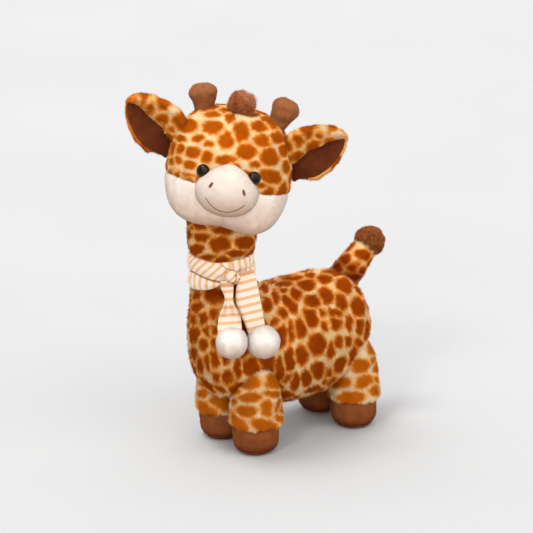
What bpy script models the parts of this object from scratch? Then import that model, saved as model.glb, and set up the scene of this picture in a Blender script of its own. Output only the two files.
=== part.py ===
"""A stuffed toy giraffe that stands on four hooves and wears a scarf with two pompoms.

Metres, +Z up. The toy faces -Y and its own left is +X. The origin is on the ground, in the
middle of the box that the whole toy fills. Soft pieces are cages smoothed by subdivision, and
each smaller one is cut by the larger one that it is sewn to, with one gap between them.
"""

import math

import bmesh
import bpy
from mathutils import Matrix, Vector

# Fabric and fit
gap = 0.0003
skin_thickness = 0.0035
filling_slack = 0.0015
cutter_overrun = 0.05
merge_distance = 0.00001
rest_steps = 40

# Stance: where the middle of the four legs stands, from the origin
stance_x = -0.0090
stance_y = 0.0193
leg_spread = 0.058
leg_reach = 0.131

# Torso
torso_length = 0.212
torso_width = 0.112
torso_height = 0.130
belly_height = 0.038
torso_back = 0.013
torso_squareness = 2.3
torso_ring_shares = (
    # top's place along and up, bottom's place along and up, half-width
    ((0.98, 0.38), (0.98, -0.42), 0.36),
    ((0.89, 0.90), (0.89, -0.86), 0.80),
    ((0.45, 1.05), (0.40, -1.02), 1.02),
    ((-0.30, 0.95), (-0.50, -0.98), 0.98),
    ((-0.43, 1.12), (-0.985, -0.50), 0.80),
    ((-0.365, 1.34), (-1.03, 0.44), 0.65),
)

# Neck
neck_radius = 0.0355
neck_waist_share = 0.98
neck_bulge_height = 0.2270
neck_seam_radius = 0.0290
neck_seam_height = 0.200
neck_forward = 0.088
nod_height = 0.267
nod_clearance_angle = 13
nod_clearance = 0.0008
neck_steps = 28
neck_dome_points = 6

# Head: turned to the toy's left, tilted to its left shoulder and raised
head_turn_angle = 50.5
head_tilt_angle = 10.3
head_raise_angle = 8.5
head_forward = 0.011
head_rise = 0.047
jaw_left = 0.0014
head_width = 0.132
head_depth = 0.118
head_height = 0.130
head_ring_shares = (
    # height, half-width, half-depth
    (0.93, 0.36, 0.36),
    (0.76, 0.75, 0.76),
    (0.24, 0.97, 1.00),
    (-0.42, 1.005, 1.04),
    (-0.93, 0.81, 0.82),
    (-1.05, 0.42, 0.40),
)
head_squareness = 2.1
jaw_slope = 0.03
chin_notch = 0.010
cheek_seam_left = 0.0035
cheek_seam_drop = 0.016
cheek_seam_back = 0.014

# Muzzle and its stitches
muzzle_width = 0.065
muzzle_depth = 0.062
muzzle_height = 0.056
muzzle_drop = 0.0170
muzzle_left = 0.0020
muzzle_forward = 0.051
muzzle_taper_share = 0.36
muzzle_lean_share = 0.08
muzzle_segments = 24
muzzle_rounds = 14
nostril_length = 0.0075
nostril_width = 0.0032
nostril_bulge = 0.0030
nostril_spread = 0.034
nostril_rise = 0.0035
nostril_lean_angle = 22
nostril_segments = 10
nostril_rounds = 6
smile_width = 0.039
smile_sag = 0.0105
smile_drop = 0.0115
smile_thread_radius = 0.0006
smile_points = 11

# Eyes: a domed bead on a stem, held behind the skin by a washer
eye_diameter = 0.014
eye_bulge = 0.0052
eye_spread = 0.053
eye_left = 0.0006
eye_rise = -0.0010
stem_radius = 0.0020
stem_length = 0.0120
stem_clearance = 0.0003
washer_radius = 0.0075
washer_thickness = 0.0018
washer_slack = 0.0013
eye_steps = 20
eye_dome_points = 6

# Horns and forelock
horn_spread = 0.077
horn_left = 0.0028
horn_lean_angle = 18
horn_base_radius = 0.0092
horn_ball_radius = 0.0147
horn_left_length = 0.0266
horn_right_length = 0.0236
horn_ring_shares = (
    # place along the horn, part of the way from the base's radius to the ball's
    (-0.40, 0.0),
    (0.05, 0.0),
    (0.30, 0.45),
    (0.62, 1.02),
    (0.88, 0.70),
    (1.02, -0.75),
)
forelock_width = 0.026
forelock_depth = 0.022
forelock_length = 0.0195
forelock_forward = 0.016
forelock_left = 0.0015
forelock_ring_shares = (
    # place along the tuft, width
    (-0.30, 0.80),
    (0.10, 0.95),
    (0.55, 1.05),
    (0.92, 0.72),
    (1.04, 0.30),
)

# Ears
ear_length = 0.060
ear_width = 0.048
ear_thickness = 0.0052
ear_curl = 0.0075
ear_upper_curl_share = 0.75
ear_lining_share = 0.84
ear_lining_thickness = 0.0018
ear_height = 0.0145
ear_back = 0.002
ear_left_raise_angle = 36
ear_right_raise_angle = 32
ear_seam_angle = 12
ear_flap_angle = 20
ear_root_overlap = 0.010
ear_ring_shares = (
    # place along the ear, half-width, curl
    (0.00, 0.80, 1.00),
    (0.25, 1.04, 1.05),
    (0.50, 0.98, 0.95),
    (0.75, 0.72, 0.65),
    (0.94, 0.38, 0.25),
    (1.02, 0.12, 0.10),
)
ear_corners = 10

# Legs and hooves
leg_radius = 0.0262
cuff_radius = 0.0285
leg_height = 0.104
front_leg_ring_shares = (
    # height between the cuff and the top, part of the way from the leg's radius to the cuff's
    (0.00, 0.60),
    (0.06, 1.00),
    (0.34, 0.25),
    (0.68, -1.10),
    (0.92, -3.30),
    (1.00, -6.20),
)
back_leg_ring_shares = (
    (0.00, 0.60),
    (0.06, 1.00),
    (0.34, -0.15),
    (0.64, -2.10),
    (0.88, -5.00),
    (1.00, -7.80),
)
hoof_radius = 0.0240
hoof_height = 0.030
sole_radius = 0.0150
hoof_round_points = 5
hoof_steps = 24

# Tail
tail_tip_back = 0.109
tail_tip_height = 0.189
tail_lift_angle = 43.5
tail_ring_shares = (-0.45, 0.0, 0.45, 0.80)
tail_base_radius = 0.0166
tail_tip_radius = 0.0114
tail_raise_angle = 15
tail_drop_angle = 22
tuft_radius = 0.0159
ball_segments = 18
ball_rounds = 10

# Scarf
scarf_thickness = 0.0066
scarf_height = 0.036
scarf_middle_drop = 0.0005
scarf_height_change = 0.0035
scarf_low_angle = 215
scarf_sections = 8
scarf_corners = 4
knot_angle = 72
knot_lift = 0.002
knot_width = 0.0145
knot_height = 0.0150
knot_thickness = 0.0125
knot_stand_off = 0.0022
strap_thickness = 0.0044
strap_width = 0.0195
strap_place_shares = (0.0, 0.16, 0.50, 0.78, 0.96)
strap_thickness_shares = (0.9, 1.0, 1.0, 1.0, 1.0)
strap_left_width_shares = (0.50, 0.68, 0.96, 1.00, 1.00)
strap_right_width_shares = (0.62, 0.60, 0.52, 1.20, 1.42)
strap_squareness = 3.0
strap_swing_angle = 60
strap_left_across = 0.0224
strap_left_rise = 0.0070
strap_right_across = 0.0031
strap_right_rise = -0.0105
pompom_radius = 0.0161
pompom_left_drop = 0.0660
pompom_right_drop = 0.0635
pompom_left_across = 0.0377
pompom_right_across = 0.0042

cage_levels = 2
coarse_levels = 1
cage_corners = 8
round_corners = 10
round_squareness = 2

giraffe = bpy.data.collections.new("plush_giraffe")
cutters = bpy.data.collections.new("cutters")


# Materials


def fabric(name, colour, roughness=0.9):
    """A matte cloth of one colour."""
    material = bpy.data.materials.new(name)
    material.use_nodes = True
    shader = material.node_tree.nodes["Principled BSDF"]
    shader.inputs["Base Color"].default_value = (*colour, 1)
    shader.inputs["Roughness"].default_value = roughness
    shader.inputs["Metallic"].default_value = 0
    material.diffuse_color = (*colour, 1)
    return material


# Building blocks


def clear_scene():
    for old in list(bpy.data.objects):
        bpy.data.objects.remove(old)
    bpy.context.scene.collection.children.link(giraffe)
    bpy.context.scene.collection.children.link(cutters)


def placed(name, data, parent, collection):
    obj = bpy.data.objects.new(name, data)
    collection.objects.link(obj)
    obj.parent = parent
    return obj


def piece(name, data, parent, material):
    """A piece of the toy, in its collection, under its parent and in its material."""
    data.materials.append(material)
    return placed(name, data, parent, giraffe)


def cutter(name, data, parent):
    """A form that cuts other pieces and isn't one itself."""
    obj = placed(name, data, parent, cutters)
    obj.hide_render = True
    obj.display_type = "WIRE"
    return obj


def guide(name, location, rotation=(0, 0, 0), parent=None):
    """An empty that carries other pieces."""
    empty = placed(name, None, parent, giraffe)
    empty.location = location
    empty.rotation_euler = rotation
    return empty


def mesh_from(name, build):
    """A mesh whose faces the function build makes in a bmesh."""
    form = bmesh.new()
    build(form)
    bmesh.ops.recalc_face_normals(form, faces=form.faces)
    mesh = bpy.data.meshes.new(name)
    form.to_mesh(mesh)
    form.free()
    mesh.shade_smooth()
    return mesh


def swell(corners):
    """How far the corners of a ring stand outside the smooth curve that it makes."""
    return 1 / (2 / 3 + math.cos(2 * math.pi / corners) / 3)


def oval(centre, across, along, corners=cage_corners, squareness=round_squareness):
    """A ring of corners whose smooth curve has the half-widths across and along."""
    ring = []
    for step in range(corners):
        turn = 2 * math.pi * step / corners
        side, up = math.cos(turn), math.sin(turn)
        side = math.copysign(abs(side) ** (2 / squareness), side)
        up = math.copysign(abs(up) ** (2 / squareness), up)
        ring.append(centre + (across * side + along * up) * swell(corners))
    return ring


def loft(name, rings, end_cap=True, end_sharp=False, ring_closed=False):
    """A cage through rings of as many corners each, with a sharp rim where it ends if asked."""

    def build(form):
        lines = [[form.verts.new(corner) for corner in ring] for ring in rings]
        pairs = list(zip(lines, lines[1:]))
        if ring_closed:
            pairs.append((lines[-1], lines[0]))
        for first, second in pairs:
            for step in range(len(first)):
                after = (step + 1) % len(first)
                form.faces.new((first[step], first[after], second[after], second[step]))
        if not ring_closed:
            form.faces.new(lines[0])
        if end_cap and not ring_closed:
            form.faces.new(lines[-1])
        if end_sharp:
            crease = form.edges.layers.float.new("crease_edge")
            for edge in form.edges:
                edge[crease] = float(all(corner in lines[-1] for corner in edge.verts))

    return mesh_from(name, build)


def smooth(obj, levels=cage_levels):
    """Rounds a cage by subdivision."""
    modifier = obj.modifiers.new("smooth", "SUBSURF")
    modifier.levels = levels
    modifier.render_levels = levels
    return obj


def grown(obj, growth):
    """Moves a surface outwards, or inwards where growth is negative."""
    modifier = obj.modifiers.new("grown", "DISPLACE")
    modifier.mid_level = 0
    modifier.strength = growth
    return obj


def shell(obj, thickness=skin_thickness):
    """Keeps a surface's outer wall."""
    modifier = obj.modifiers.new("shell", "SOLIDIFY")
    modifier.thickness = thickness
    modifier.offset = -1
    modifier.use_even_offset = True
    return obj


def cut(obj, cutter, operation="DIFFERENCE"):
    modifier = obj.modifiers.new(cutter.name, "BOOLEAN")
    modifier.object = cutter
    modifier.operation = operation
    modifier.solver = "EXACT"
    return obj


def turned(obj, steps):
    """Turns an outline of edges, which runs down at +X from top to bottom, about its own Z."""
    modifier = obj.modifiers.new("turned", "SCREW")
    modifier.steps = steps
    modifier.render_steps = steps
    modifier.use_merge_vertices = True
    modifier.merge_threshold = merge_distance
    return obj


def outline(name, points):
    """A chain of edges through (radius, height) points."""

    def build(form):
        corners = [form.verts.new((radius, 0, height)) for radius, height in points]
        for pair in zip(corners, corners[1:]):
            form.edges.new(pair)

    return mesh_from(name, build)


def arc(radius, first_angle, last_angle, points, middle=(0, 0)):
    """(radius, height) points along an arc, its angles counted up from level in degrees."""
    places = []
    for number in range(points):
        turn = math.radians(first_angle + (last_angle - first_angle) * number / (points - 1))
        across = middle[0] + radius * math.cos(turn)
        places.append((max(across, 0), middle[1] + radius * math.sin(turn)))
    return places


def ball(name, half, segments, rings):
    """A round body with the given half-sizes."""

    def build(form):
        bmesh.ops.create_uvsphere(form, u_segments=segments, v_segments=rings, radius=1)
        for corner in form.verts:
            corner.co = Vector(a * b for a, b in zip(corner.co, half))

    return mesh_from(name, build)


def box(name, low, high):
    def build(form):
        bmesh.ops.create_cube(form, size=1)
        middle = (Vector(low) + Vector(high)) / 2
        sides = Vector(high) - Vector(low)
        for corner in form.verts:
            corner.co = middle + Vector(a * b for a, b in zip(corner.co, sides))

    return mesh_from(name, build)


def evaluated(form):
    """The form as its modifiers leave it, which answers questions about its surface."""
    bpy.context.view_layer.update()
    return form.evaluated_get(bpy.context.evaluated_depsgraph_get())


def point_on(form, start, direction):
    """The place and normal where a line from outside meets the form, in the form's frame."""
    hit, place, normal, _ = evaluated(form).ray_cast(Vector(start), Vector(direction))
    if not hit:
        raise ValueError("the line from outside misses " + form.name)
    return place, normal


def rest_against(form, start, direction, reach):
    """Moves a point along direction until it is reach away from the form."""
    place = Vector(start)
    surface = evaluated(form)
    for _ in range(rest_steps):
        _, near, _, _ = surface.closest_point_on_mesh(place)
        place += direction * ((place - near).length - reach)
    return place


def upright_on(normal, up=Vector((0, 0, 1))):
    """The rotation whose Z is the normal and whose Y is as near to up as it can be."""
    side = up.cross(normal).normalized()
    above = normal.cross(side).normalized()
    return Matrix((side, above, normal)).transposed().to_euler()


def toward(angle):
    """A level direction, its angle counted from where the toy faces towards its left."""
    return Vector((math.sin(math.radians(angle)), -math.cos(math.radians(angle)), 0))


# Where the head is


def head_frame(base):
    """The head's own frame, with its origin in the middle of the head and -Y where it looks."""
    turn = (
        math.radians(-head_raise_angle),
        math.radians(head_tilt_angle),
        math.radians(head_turn_angle),
    )
    pivot = guide("head_pivot", (0, -neck_forward, nod_height), turn, base)
    return guide("head_middle", (0, -head_forward, head_rise), parent=pivot)


# Torso


def torso_rings():
    """Rings from the rump along the belly and back, fanning up into the neck's seam."""
    half = Vector((torso_width, torso_length, torso_height)) / 2
    middle = Vector((0, -torso_back, belly_height + half.z))
    rings = []
    for top, bottom, width in torso_ring_shares:
        top = middle + Vector((0, top[0] * half.y, top[1] * half.z))
        bottom = middle + Vector((0, bottom[0] * half.y, bottom[1] * half.z))
        across = Vector((width * half.x, 0, 0))
        rings.append(oval((top + bottom) / 2, across, (top - bottom) / 2, cage_corners, torso_squareness))
    seam = Vector((0, -neck_forward, neck_seam_height))
    radius = neck_seam_radius
    rings.append(oval(seam, Vector((radius, 0, 0)), Vector((0, radius, 0))))
    return rings


def torso(base, plush, wadding):
    """The sewn skin, open at the neck's seam, and the filling in it."""
    rings = torso_rings()
    skin = piece("torso_skin", loft("torso_skin", rings, end_cap=False), base, plush)
    shell(smooth(skin))
    filling = piece("torso_filling", loft("torso_filling", rings, end_sharp=True), base, wadding)
    grown(smooth(filling, coarse_levels), -skin_thickness - gap - filling_slack)
    form = cutter("torso_form", loft("torso_form", rings, end_sharp=True), base)
    return grown(smooth(form), gap)


# Legs and hooves


def leg_rings(shares):
    rings = []
    for height, flare in shares:
        radius = leg_radius + (cuff_radius - leg_radius) * flare
        place = hoof_height + gap + (leg_height - hoof_height) * height
        size = (Vector((radius, 0, 0)), Vector((0, radius, 0)))
        rings.append(oval(Vector((0, 0, place)), *size, round_corners))
    return rings


def hoof_outline():
    """A rounded hoof with a flat sole, and a flat top under the leg."""
    corner = hoof_radius - sole_radius
    side = arc(corner, 0, -90, hoof_round_points, (sole_radius, corner))
    return [(0, hoof_height), (hoof_radius, hoof_height), *side, (0, 0)]


def legs(base, torso_form, plush, minky):
    rows = ((-1, "front", front_leg_ring_shares), (1, "back", back_leg_ring_shares))
    for along, row, shares in rows:
        for side, hand in ((1, "left"), (-1, "right")):
            name = row + "_" + hand
            place = (side * leg_spread / 2, along * leg_reach / 2, 0)
            stand = guide("stand_" + name, place, parent=base)
            leg = piece("leg_" + name, loft("leg_" + name, leg_rings(shares)), stand, plush)
            cut(smooth(leg, coarse_levels), torso_form)
            hoof = piece("hoof_" + name, outline("hoof_" + name, hoof_outline()), stand, minky)
            turned(hoof, hoof_steps)


# Neck


def neck_dome(growth=0.0):
    """The neck's rounded top, round the point where the head nods."""
    return arc(neck_radius + growth, 90, 0, neck_dome_points)


def neck(base, plush):
    bulge = (neck_radius, neck_bulge_height - nod_height)
    waist = (neck_radius * neck_waist_share, bulge[1] / 2)
    seam = neck_seam_height + gap - nod_height
    collar = seam - scarf_middle_drop + scarf_height / 2
    pinch = [(neck_seam_radius, collar), (neck_seam_radius, seam), (0, seam)]
    points = [*neck_dome(), waist, bulge, *pinch]
    tube = turned(piece("neck", outline("neck", points), base, plush), neck_steps)
    tube.location = (0, -neck_forward, nod_height)


def neck_socket(base):
    """The room that the neck leaves in the head, flared below so that the head can nod."""
    dome = neck_dome(nod_clearance)
    flare = dome[-1][0] + cutter_overrun * math.tan(math.radians(nod_clearance_angle))
    points = [*dome, (flare, -cutter_overrun), (0, -cutter_overrun)]
    room = turned(cutter("neck_socket", outline("neck_socket", points), base), neck_steps)
    room.location = (0, -neck_forward, nod_height)
    return room


# Head


def head_rings():
    """Rings from the top of the head down, drawn up at the chin between the cheeks."""
    half = Vector((head_width, head_depth, head_height)) / 2
    rings = []
    for height, width, depth in head_ring_shares:
        middle = Vector((jaw_left if height < 0 else 0, 0, height * half.z))
        across = Vector((width * half.x, 0, 0))
        along = Vector((0, depth * half.y, 0))
        rings.append(oval(middle, across, along, cage_corners, head_squareness))
    chin = len(rings[0]) * 3 // 4
    for ring in rings[-2:]:
        for corner in ring:
            corner.z -= jaw_slope * corner.x
        ring[chin] += Vector((cheek_seam_left, 0, chin_notch))
    return rings


def head_form(frame):
    """The whole head with its clearance, which cuts what is sewn to it."""
    return grown(smooth(cutter("head_form", loft("head_form", head_rings()), frame)), gap)


def cheek_room(name, frame, left, right, seam_gap):
    """The block in which the cheeks lie, below their seam and ahead of the head's back."""
    low = (left, -head_depth, -head_height)
    high = (right, cheek_seam_back - seam_gap, -cheek_seam_drop - seam_gap)
    return cutter(name, box(name, low, high), frame)


def head_skins(frame, socket, stem_rooms, plush, cream):
    """The patterned crown and back, and two cream cheeks that meet at the chin."""
    crown = shell(smooth(piece("head_crown", loft("head_crown", head_rings()), frame, plush)))
    both = cheek_room("cheeks_room", frame, -head_width, head_width, 0)
    for room in (socket, both, *stem_rooms):
        cut(crown, room)
    seam = cheek_seam_left
    sides = (("cheek_left", seam + gap / 2, head_width), ("cheek_right", -head_width, seam - gap / 2))
    for name, low, high in sides:
        cheek = shell(smooth(piece(name, loft(name, head_rings()), frame, cream)))
        cut(cheek, cheek_room(name + "_room", frame, low, high, gap), "INTERSECT")
        cut(cheek, socket)


def head_filling(frame, socket, washer_rooms, wadding):
    filling = piece("head_filling", loft("head_filling", head_rings()), frame, wadding)
    grown(smooth(filling, coarse_levels), -skin_thickness - gap - filling_slack)
    for room in (socket, *washer_rooms):
        cut(filling, room)


# Eyes


def bead_outline():
    """A domed bead with a flat back and the stem behind it."""
    radius = eye_diameter / 2
    lean = 2 * math.atan(eye_bulge / radius)
    round_radius = radius / math.sin(lean)
    middle = (0, eye_bulge - round_radius + gap)
    dome = arc(round_radius, 90, 90 - math.degrees(lean), eye_dome_points, middle)
    return [*dome, (stem_radius, gap), (stem_radius, -stem_length), (0, -stem_length)]


def washer_outline():
    """A washer close behind the skin, round the stem."""
    hole = stem_radius + stem_clearance
    top = -skin_thickness - gap - washer_slack
    low = top - washer_thickness
    return [(hole, low), (hole, top), (washer_radius, top), (washer_radius, low), (hole, low)]


def rod_outline(radius, top, bottom):
    return [(0, top), (radius, top), (radius, bottom), (0, bottom)]


def eyes(form, frame, bead_plastic, washer_plastic):
    """Both eyes and their washers, and the rooms for their stems, washers and beads."""
    rooms = {"stem": [], "washer": [], "bead": []}
    sizes = {
        "stem": (stem_radius + stem_clearance, cutter_overrun, -stem_length - gap),
        "washer": (washer_radius + gap, cutter_overrun, -stem_length - gap),
        "bead": (eye_diameter / 2 + gap, cutter_overrun, -skin_thickness),
    }
    for side, hand in ((1, "left"), (-1, "right")):
        start = (eye_left + side * eye_spread / 2, -head_depth, eye_rise)
        place, normal = point_on(form, start, (0, 1, 0))
        seat = guide("eye_seat_" + hand, place, upright_on(normal), frame)
        name = "eye_" + hand
        turned(piece(name, outline(name, bead_outline()), seat, bead_plastic), eye_steps)
        name = "eye_washer_" + hand
        turned(piece(name, outline(name, washer_outline()), seat, washer_plastic), eye_steps)
        for kind, size in sizes.items():
            name = kind + "_room_" + hand
            room = cutter(name, outline(name, rod_outline(*size)), seat)
            rooms[kind].append(turned(room, eye_steps))
    return rooms


# Muzzle and its stitches


def muzzle_half():
    return Vector((muzzle_width, muzzle_depth, muzzle_height)) / 2


def muzzle_narrowing(rise):
    """The muzzle's share of its width at a height, from -1 at its bottom to 1 at its top."""
    return 1 - muzzle_taper_share * max(rise, 0) ** 2 - muzzle_lean_share * rise


def muzzle_front(x, z):
    """The place on the muzzle's face that far across and up from its middle."""
    half = muzzle_half()
    across = x / (half.x * muzzle_narrowing(z / half.z))
    left = max(1 - across**2 - (z / half.z) ** 2, 0)
    return Vector((x, -half.y * math.sqrt(left), z))


def muzzle_slope(x, z):
    """The normal of the muzzle's face there, from short steps on it."""
    step = muzzle_width / muzzle_segments / muzzle_segments
    across = muzzle_front(x + step, z) - muzzle_front(x - step, z)
    up = muzzle_front(x, z + step) - muzzle_front(x, z - step)
    return across.cross(up).normalized()


def muzzle(frame, form, bead_rooms, cream):
    """An egg, narrower at its top, that is cut where it meets the face and the eyes."""
    seat = guide("muzzle_middle", (muzzle_left, -muzzle_forward, -muzzle_drop), parent=frame)
    half = muzzle_half()
    mesh = ball("muzzle", half, muzzle_segments, muzzle_rounds)
    for corner in mesh.vertices:
        corner.co.x *= muzzle_narrowing(corner.co.z / half.z)
    egg = piece("muzzle", mesh, seat, cream)
    for room in (form, *bead_rooms):
        cut(egg, room)
    return seat


def nostrils(seat, thread):
    """Two embroidered bars that lean towards each other at the top."""
    half = Vector((nostril_width, nostril_length, nostril_bulge)) / 2
    for side, hand in ((1, "left"), (-1, "right")):
        name = "nostril_" + hand
        bar = piece(name, ball(name, half, nostril_segments, nostril_rounds), seat, thread)
        x, z = side * nostril_spread / 2, nostril_rise
        normal = muzzle_slope(x, z)
        bar.location = muzzle_front(x, z) + normal * (half.z + gap)
        lean = Matrix.Rotation(math.radians(side * nostril_lean_angle), 3, "Z")
        bar.rotation_euler = (upright_on(normal).to_matrix() @ lean).to_euler()


def smile(seat, thread):
    """One thread that sags across the muzzle between its two ends."""
    curve = bpy.data.curves.new("smile_stitch", "CURVE")
    curve.dimensions = "3D"
    curve.bevel_depth = smile_thread_radius
    curve.bevel_resolution = 1
    curve.use_fill_caps = True
    spline = curve.splines.new("POLY")
    spline.points.add(smile_points - 1)
    for number, point in enumerate(spline.points):
        share = 2 * number / (smile_points - 1) - 1
        x = share * smile_width / 2
        z = -smile_drop - smile_sag * (1 - share**2)
        lifted = muzzle_front(x, z) + muzzle_slope(x, z) * (smile_thread_radius + gap)
        point.co = (*lifted, 1)
    piece("smile_stitch", curve, seat, thread)


# Horns and forelock


def spine_rings(length, ring_radii):
    """Rings along Z: each has its place, as a share of the length, and two half-widths."""
    rings = []
    for place, across, along in ring_radii:
        middle = Vector((0, 0, place * length))
        size = (Vector((across, 0, 0)), Vector((0, along, 0)))
        rings.append(oval(middle, *size, round_corners))
    return rings


def horns(frame, form, minky):
    sides = ((1, "left", horn_left_length), (-1, "right", horn_right_length))
    for side, hand, horn_length in sides:
        start = (horn_left + side * horn_spread / 2, 0, head_height)
        place, _ = point_on(form, start, (0, 0, -1))
        lean = (0, math.radians(side * horn_lean_angle), 0)
        seat = guide("horn_seat_" + hand, place, lean, frame)
        radii = []
        for along, swelling in horn_ring_shares:
            radius = horn_base_radius + (horn_ball_radius - horn_base_radius) * swelling
            radii.append((along, radius, radius))
        name = "horn_" + hand
        horn = piece(name, loft(name, spine_rings(horn_length, radii)), seat, minky)
        cut(smooth(horn, coarse_levels), form)


def forelock(frame, form, fur):
    start = (forelock_left, -forelock_forward, head_height)
    place, _ = point_on(form, start, (0, 0, -1))
    seat = guide("forelock_seat", place, parent=frame)
    half = Vector((forelock_width, forelock_depth, 0)) / 2
    radii = [(along, half.x * wide, half.y * wide) for along, wide in forelock_ring_shares]
    tuft = piece("forelock", loft("forelock", spine_rings(forelock_length, radii)), seat, fur)
    cut(smooth(tuft, coarse_levels), form)


# Ears


def ear_section(side, along, half_width, curl, thickness, forward):
    """A ring of the ear: a leaf's section whose upper half folds forward over the lower."""
    ring = []
    for step in range(ear_corners):
        turn = 2 * math.pi * step / ear_corners
        across, through = math.cos(turn), math.sin(turn)
        fold = curl * across**2 * (1 + ear_upper_curl_share * across)
        back = through * thickness / 2 * swell(ear_corners) - fold - forward
        ring.append(Vector((side * along, back, across * half_width * swell(ear_corners))))
    return ring


def ear_leaf(side, width_share, thickness, forward):
    """Rings from the root, which runs on into the head, to the tip."""
    rings = []
    for along, width, curl in ear_ring_shares:
        half_width = ear_width / 2 * width * width_share
        size = (along * ear_length, half_width, curl * ear_curl, thickness, forward)
        rings.append(ear_section(side, *size))
    root = Vector((side * ear_root_overlap, 0, 0))
    return [[corner - root for corner in rings[0]], *rings]


def ears(frame, form, plush, minky):
    """Two ears, each with its lining, hinged along the seam on the side of the head."""
    lining_forward = (ear_thickness + ear_lining_thickness) / 2 + gap
    sides = ((1, "left", ear_left_raise_angle), (-1, "right", ear_right_raise_angle))
    for side, hand, ear_raise_angle in sides:
        place, _ = point_on(form, (side * head_width, ear_back, ear_height), (-side, 0, 0))
        lean = math.radians(-side * ear_seam_angle)
        seam = guide("ear_seam_" + hand, place, (0, lean, 0), frame)
        raised = math.radians(-side * (ear_raise_angle - ear_seam_angle))
        leaf = guide("ear_leaf_" + hand, (0, 0, 0), (0, raised, 0), seam)
        name = "ear_" + hand
        ear = piece(name, loft(name, ear_leaf(side, 1, ear_thickness, 0)), leaf, plush)
        name = "ear_lining_" + hand
        rings = ear_leaf(side, ear_lining_share, ear_lining_thickness, lining_forward)
        lining = piece(name, loft(name, rings), leaf, minky)
        smooth(ear, coarse_levels)
        smooth(lining, coarse_levels)
        for turn in (-1, 0, 1):
            room = swung_head("head_room_" + hand + str(turn + 1), seam, form, turn)
            cut(ear, room)
            cut(lining, room)


def swung_head(name, seam, form, turn):
    """The head as an ear sees it when the ear flaps about its seam, which runs along Z."""
    flap = math.radians(turn * ear_flap_angle)
    swing = guide(name + "_swing", (0, 0, 0), (0, 0, flap), seam)
    back = guide(name + "_back", (0, 0, 0), (0, -seam.rotation_euler.y, 0), swing)
    room = cutter(name, form.data, back)
    room.location = -seam.location
    return grown(smooth(room), gap)


# Tail


def tail(base, torso_form, plush, minky):
    """A tapering tail with a ball at its tip, which lifts about a level line at its root."""
    lift = math.radians(tail_lift_angle)
    direction = Vector((0, math.cos(lift), math.sin(lift)))
    tip = Vector((0, tail_tip_back, tail_tip_height))
    place, _ = point_on(torso_form, tip, -direction)
    length = (tip - place).length
    root = guide("tail_root", place, parent=base)
    spine = guide("tail_spine", (0, 0, 0), (lift - math.pi / 2, 0, 0), root)
    radii = []
    for share in tail_ring_shares:
        radius = tail_base_radius + (tail_tip_radius - tail_base_radius) * max(share, 0)
        radii.append((share, radius, radius))
    cone = piece("tail", loft("tail", spine_rings(length, radii)), spine, plush)
    smooth(cone, coarse_levels)
    for name, angle in (("down", -tail_drop_angle), ("rest", 0), ("up", tail_raise_angle)):
        swing = guide("tail_" + name, (0, 0, 0), (math.radians(-angle), 0, 0), root)
        room = cutter("torso_room_" + name, torso_form.data, swing)
        room.location = -root.location
        cut(cone, grown(smooth(room), gap))
    half = Vector((tuft_radius, tuft_radius, tuft_radius))
    tuft = piece("tail_tuft", ball("tail_tuft", half, ball_segments, ball_rounds), spine, minky)
    tuft.location = (0, 0, length)
    room = cutter("tuft_room", ball("tuft_room", half, ball_segments, ball_rounds), spine)
    room.location = tuft.location
    cut(cone, grown(room, gap))


# Scarf


def scarf_wrap(base, torso_form, knit):
    """A soft band round the neck, deeper where it hangs low."""
    rings = []
    spread = swell(scarf_sections)
    radius = neck_seam_radius + gap + scarf_thickness / 2
    for step in range(scarf_sections):
        turn = 360 * step / scarf_sections
        low = math.cos(math.radians(turn - scarf_low_angle))
        out = toward(turn)
        middle = out * radius * spread - Vector((0, 0, scarf_height_change * low))
        up = Vector((0, 0, scarf_height / 2 + scarf_height_change * low))
        rings.append(oval(middle, out * scarf_thickness / 2, up, scarf_corners))
    wrap = piece("scarf_wrap", loft("scarf_wrap", rings, ring_closed=True), base, knit)
    smooth(wrap)
    wrap.location = (0, -neck_forward, neck_seam_height - scarf_middle_drop)
    cut(wrap, torso_form)
    return wrap


def scarf_knot(base, wrap, knit):
    """The knot, pressed against the band where the two ends leave it."""
    out = toward(knot_angle)
    place = wrap.location + Vector((0, 0, knot_lift))
    place += out * (neck_seam_radius + scarf_thickness + knot_stand_off)
    half = Vector((knot_width, knot_thickness, knot_height)) / 2
    mesh = ball("scarf_knot", half, ball_segments, ball_rounds)
    knot = piece("scarf_knot", mesh, base, knit)
    knot.location = place
    knot.rotation_euler = (0, 0, math.radians(knot_angle))
    room = cutter("wrap_room", wrap.data, base)
    room.location = wrap.location
    cut(knot, grown(smooth(room), gap))
    room = cutter("knot_room", mesh, base)
    room.location = place
    room.rotation_euler = knot.rotation_euler
    return grown(room, gap)


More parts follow.
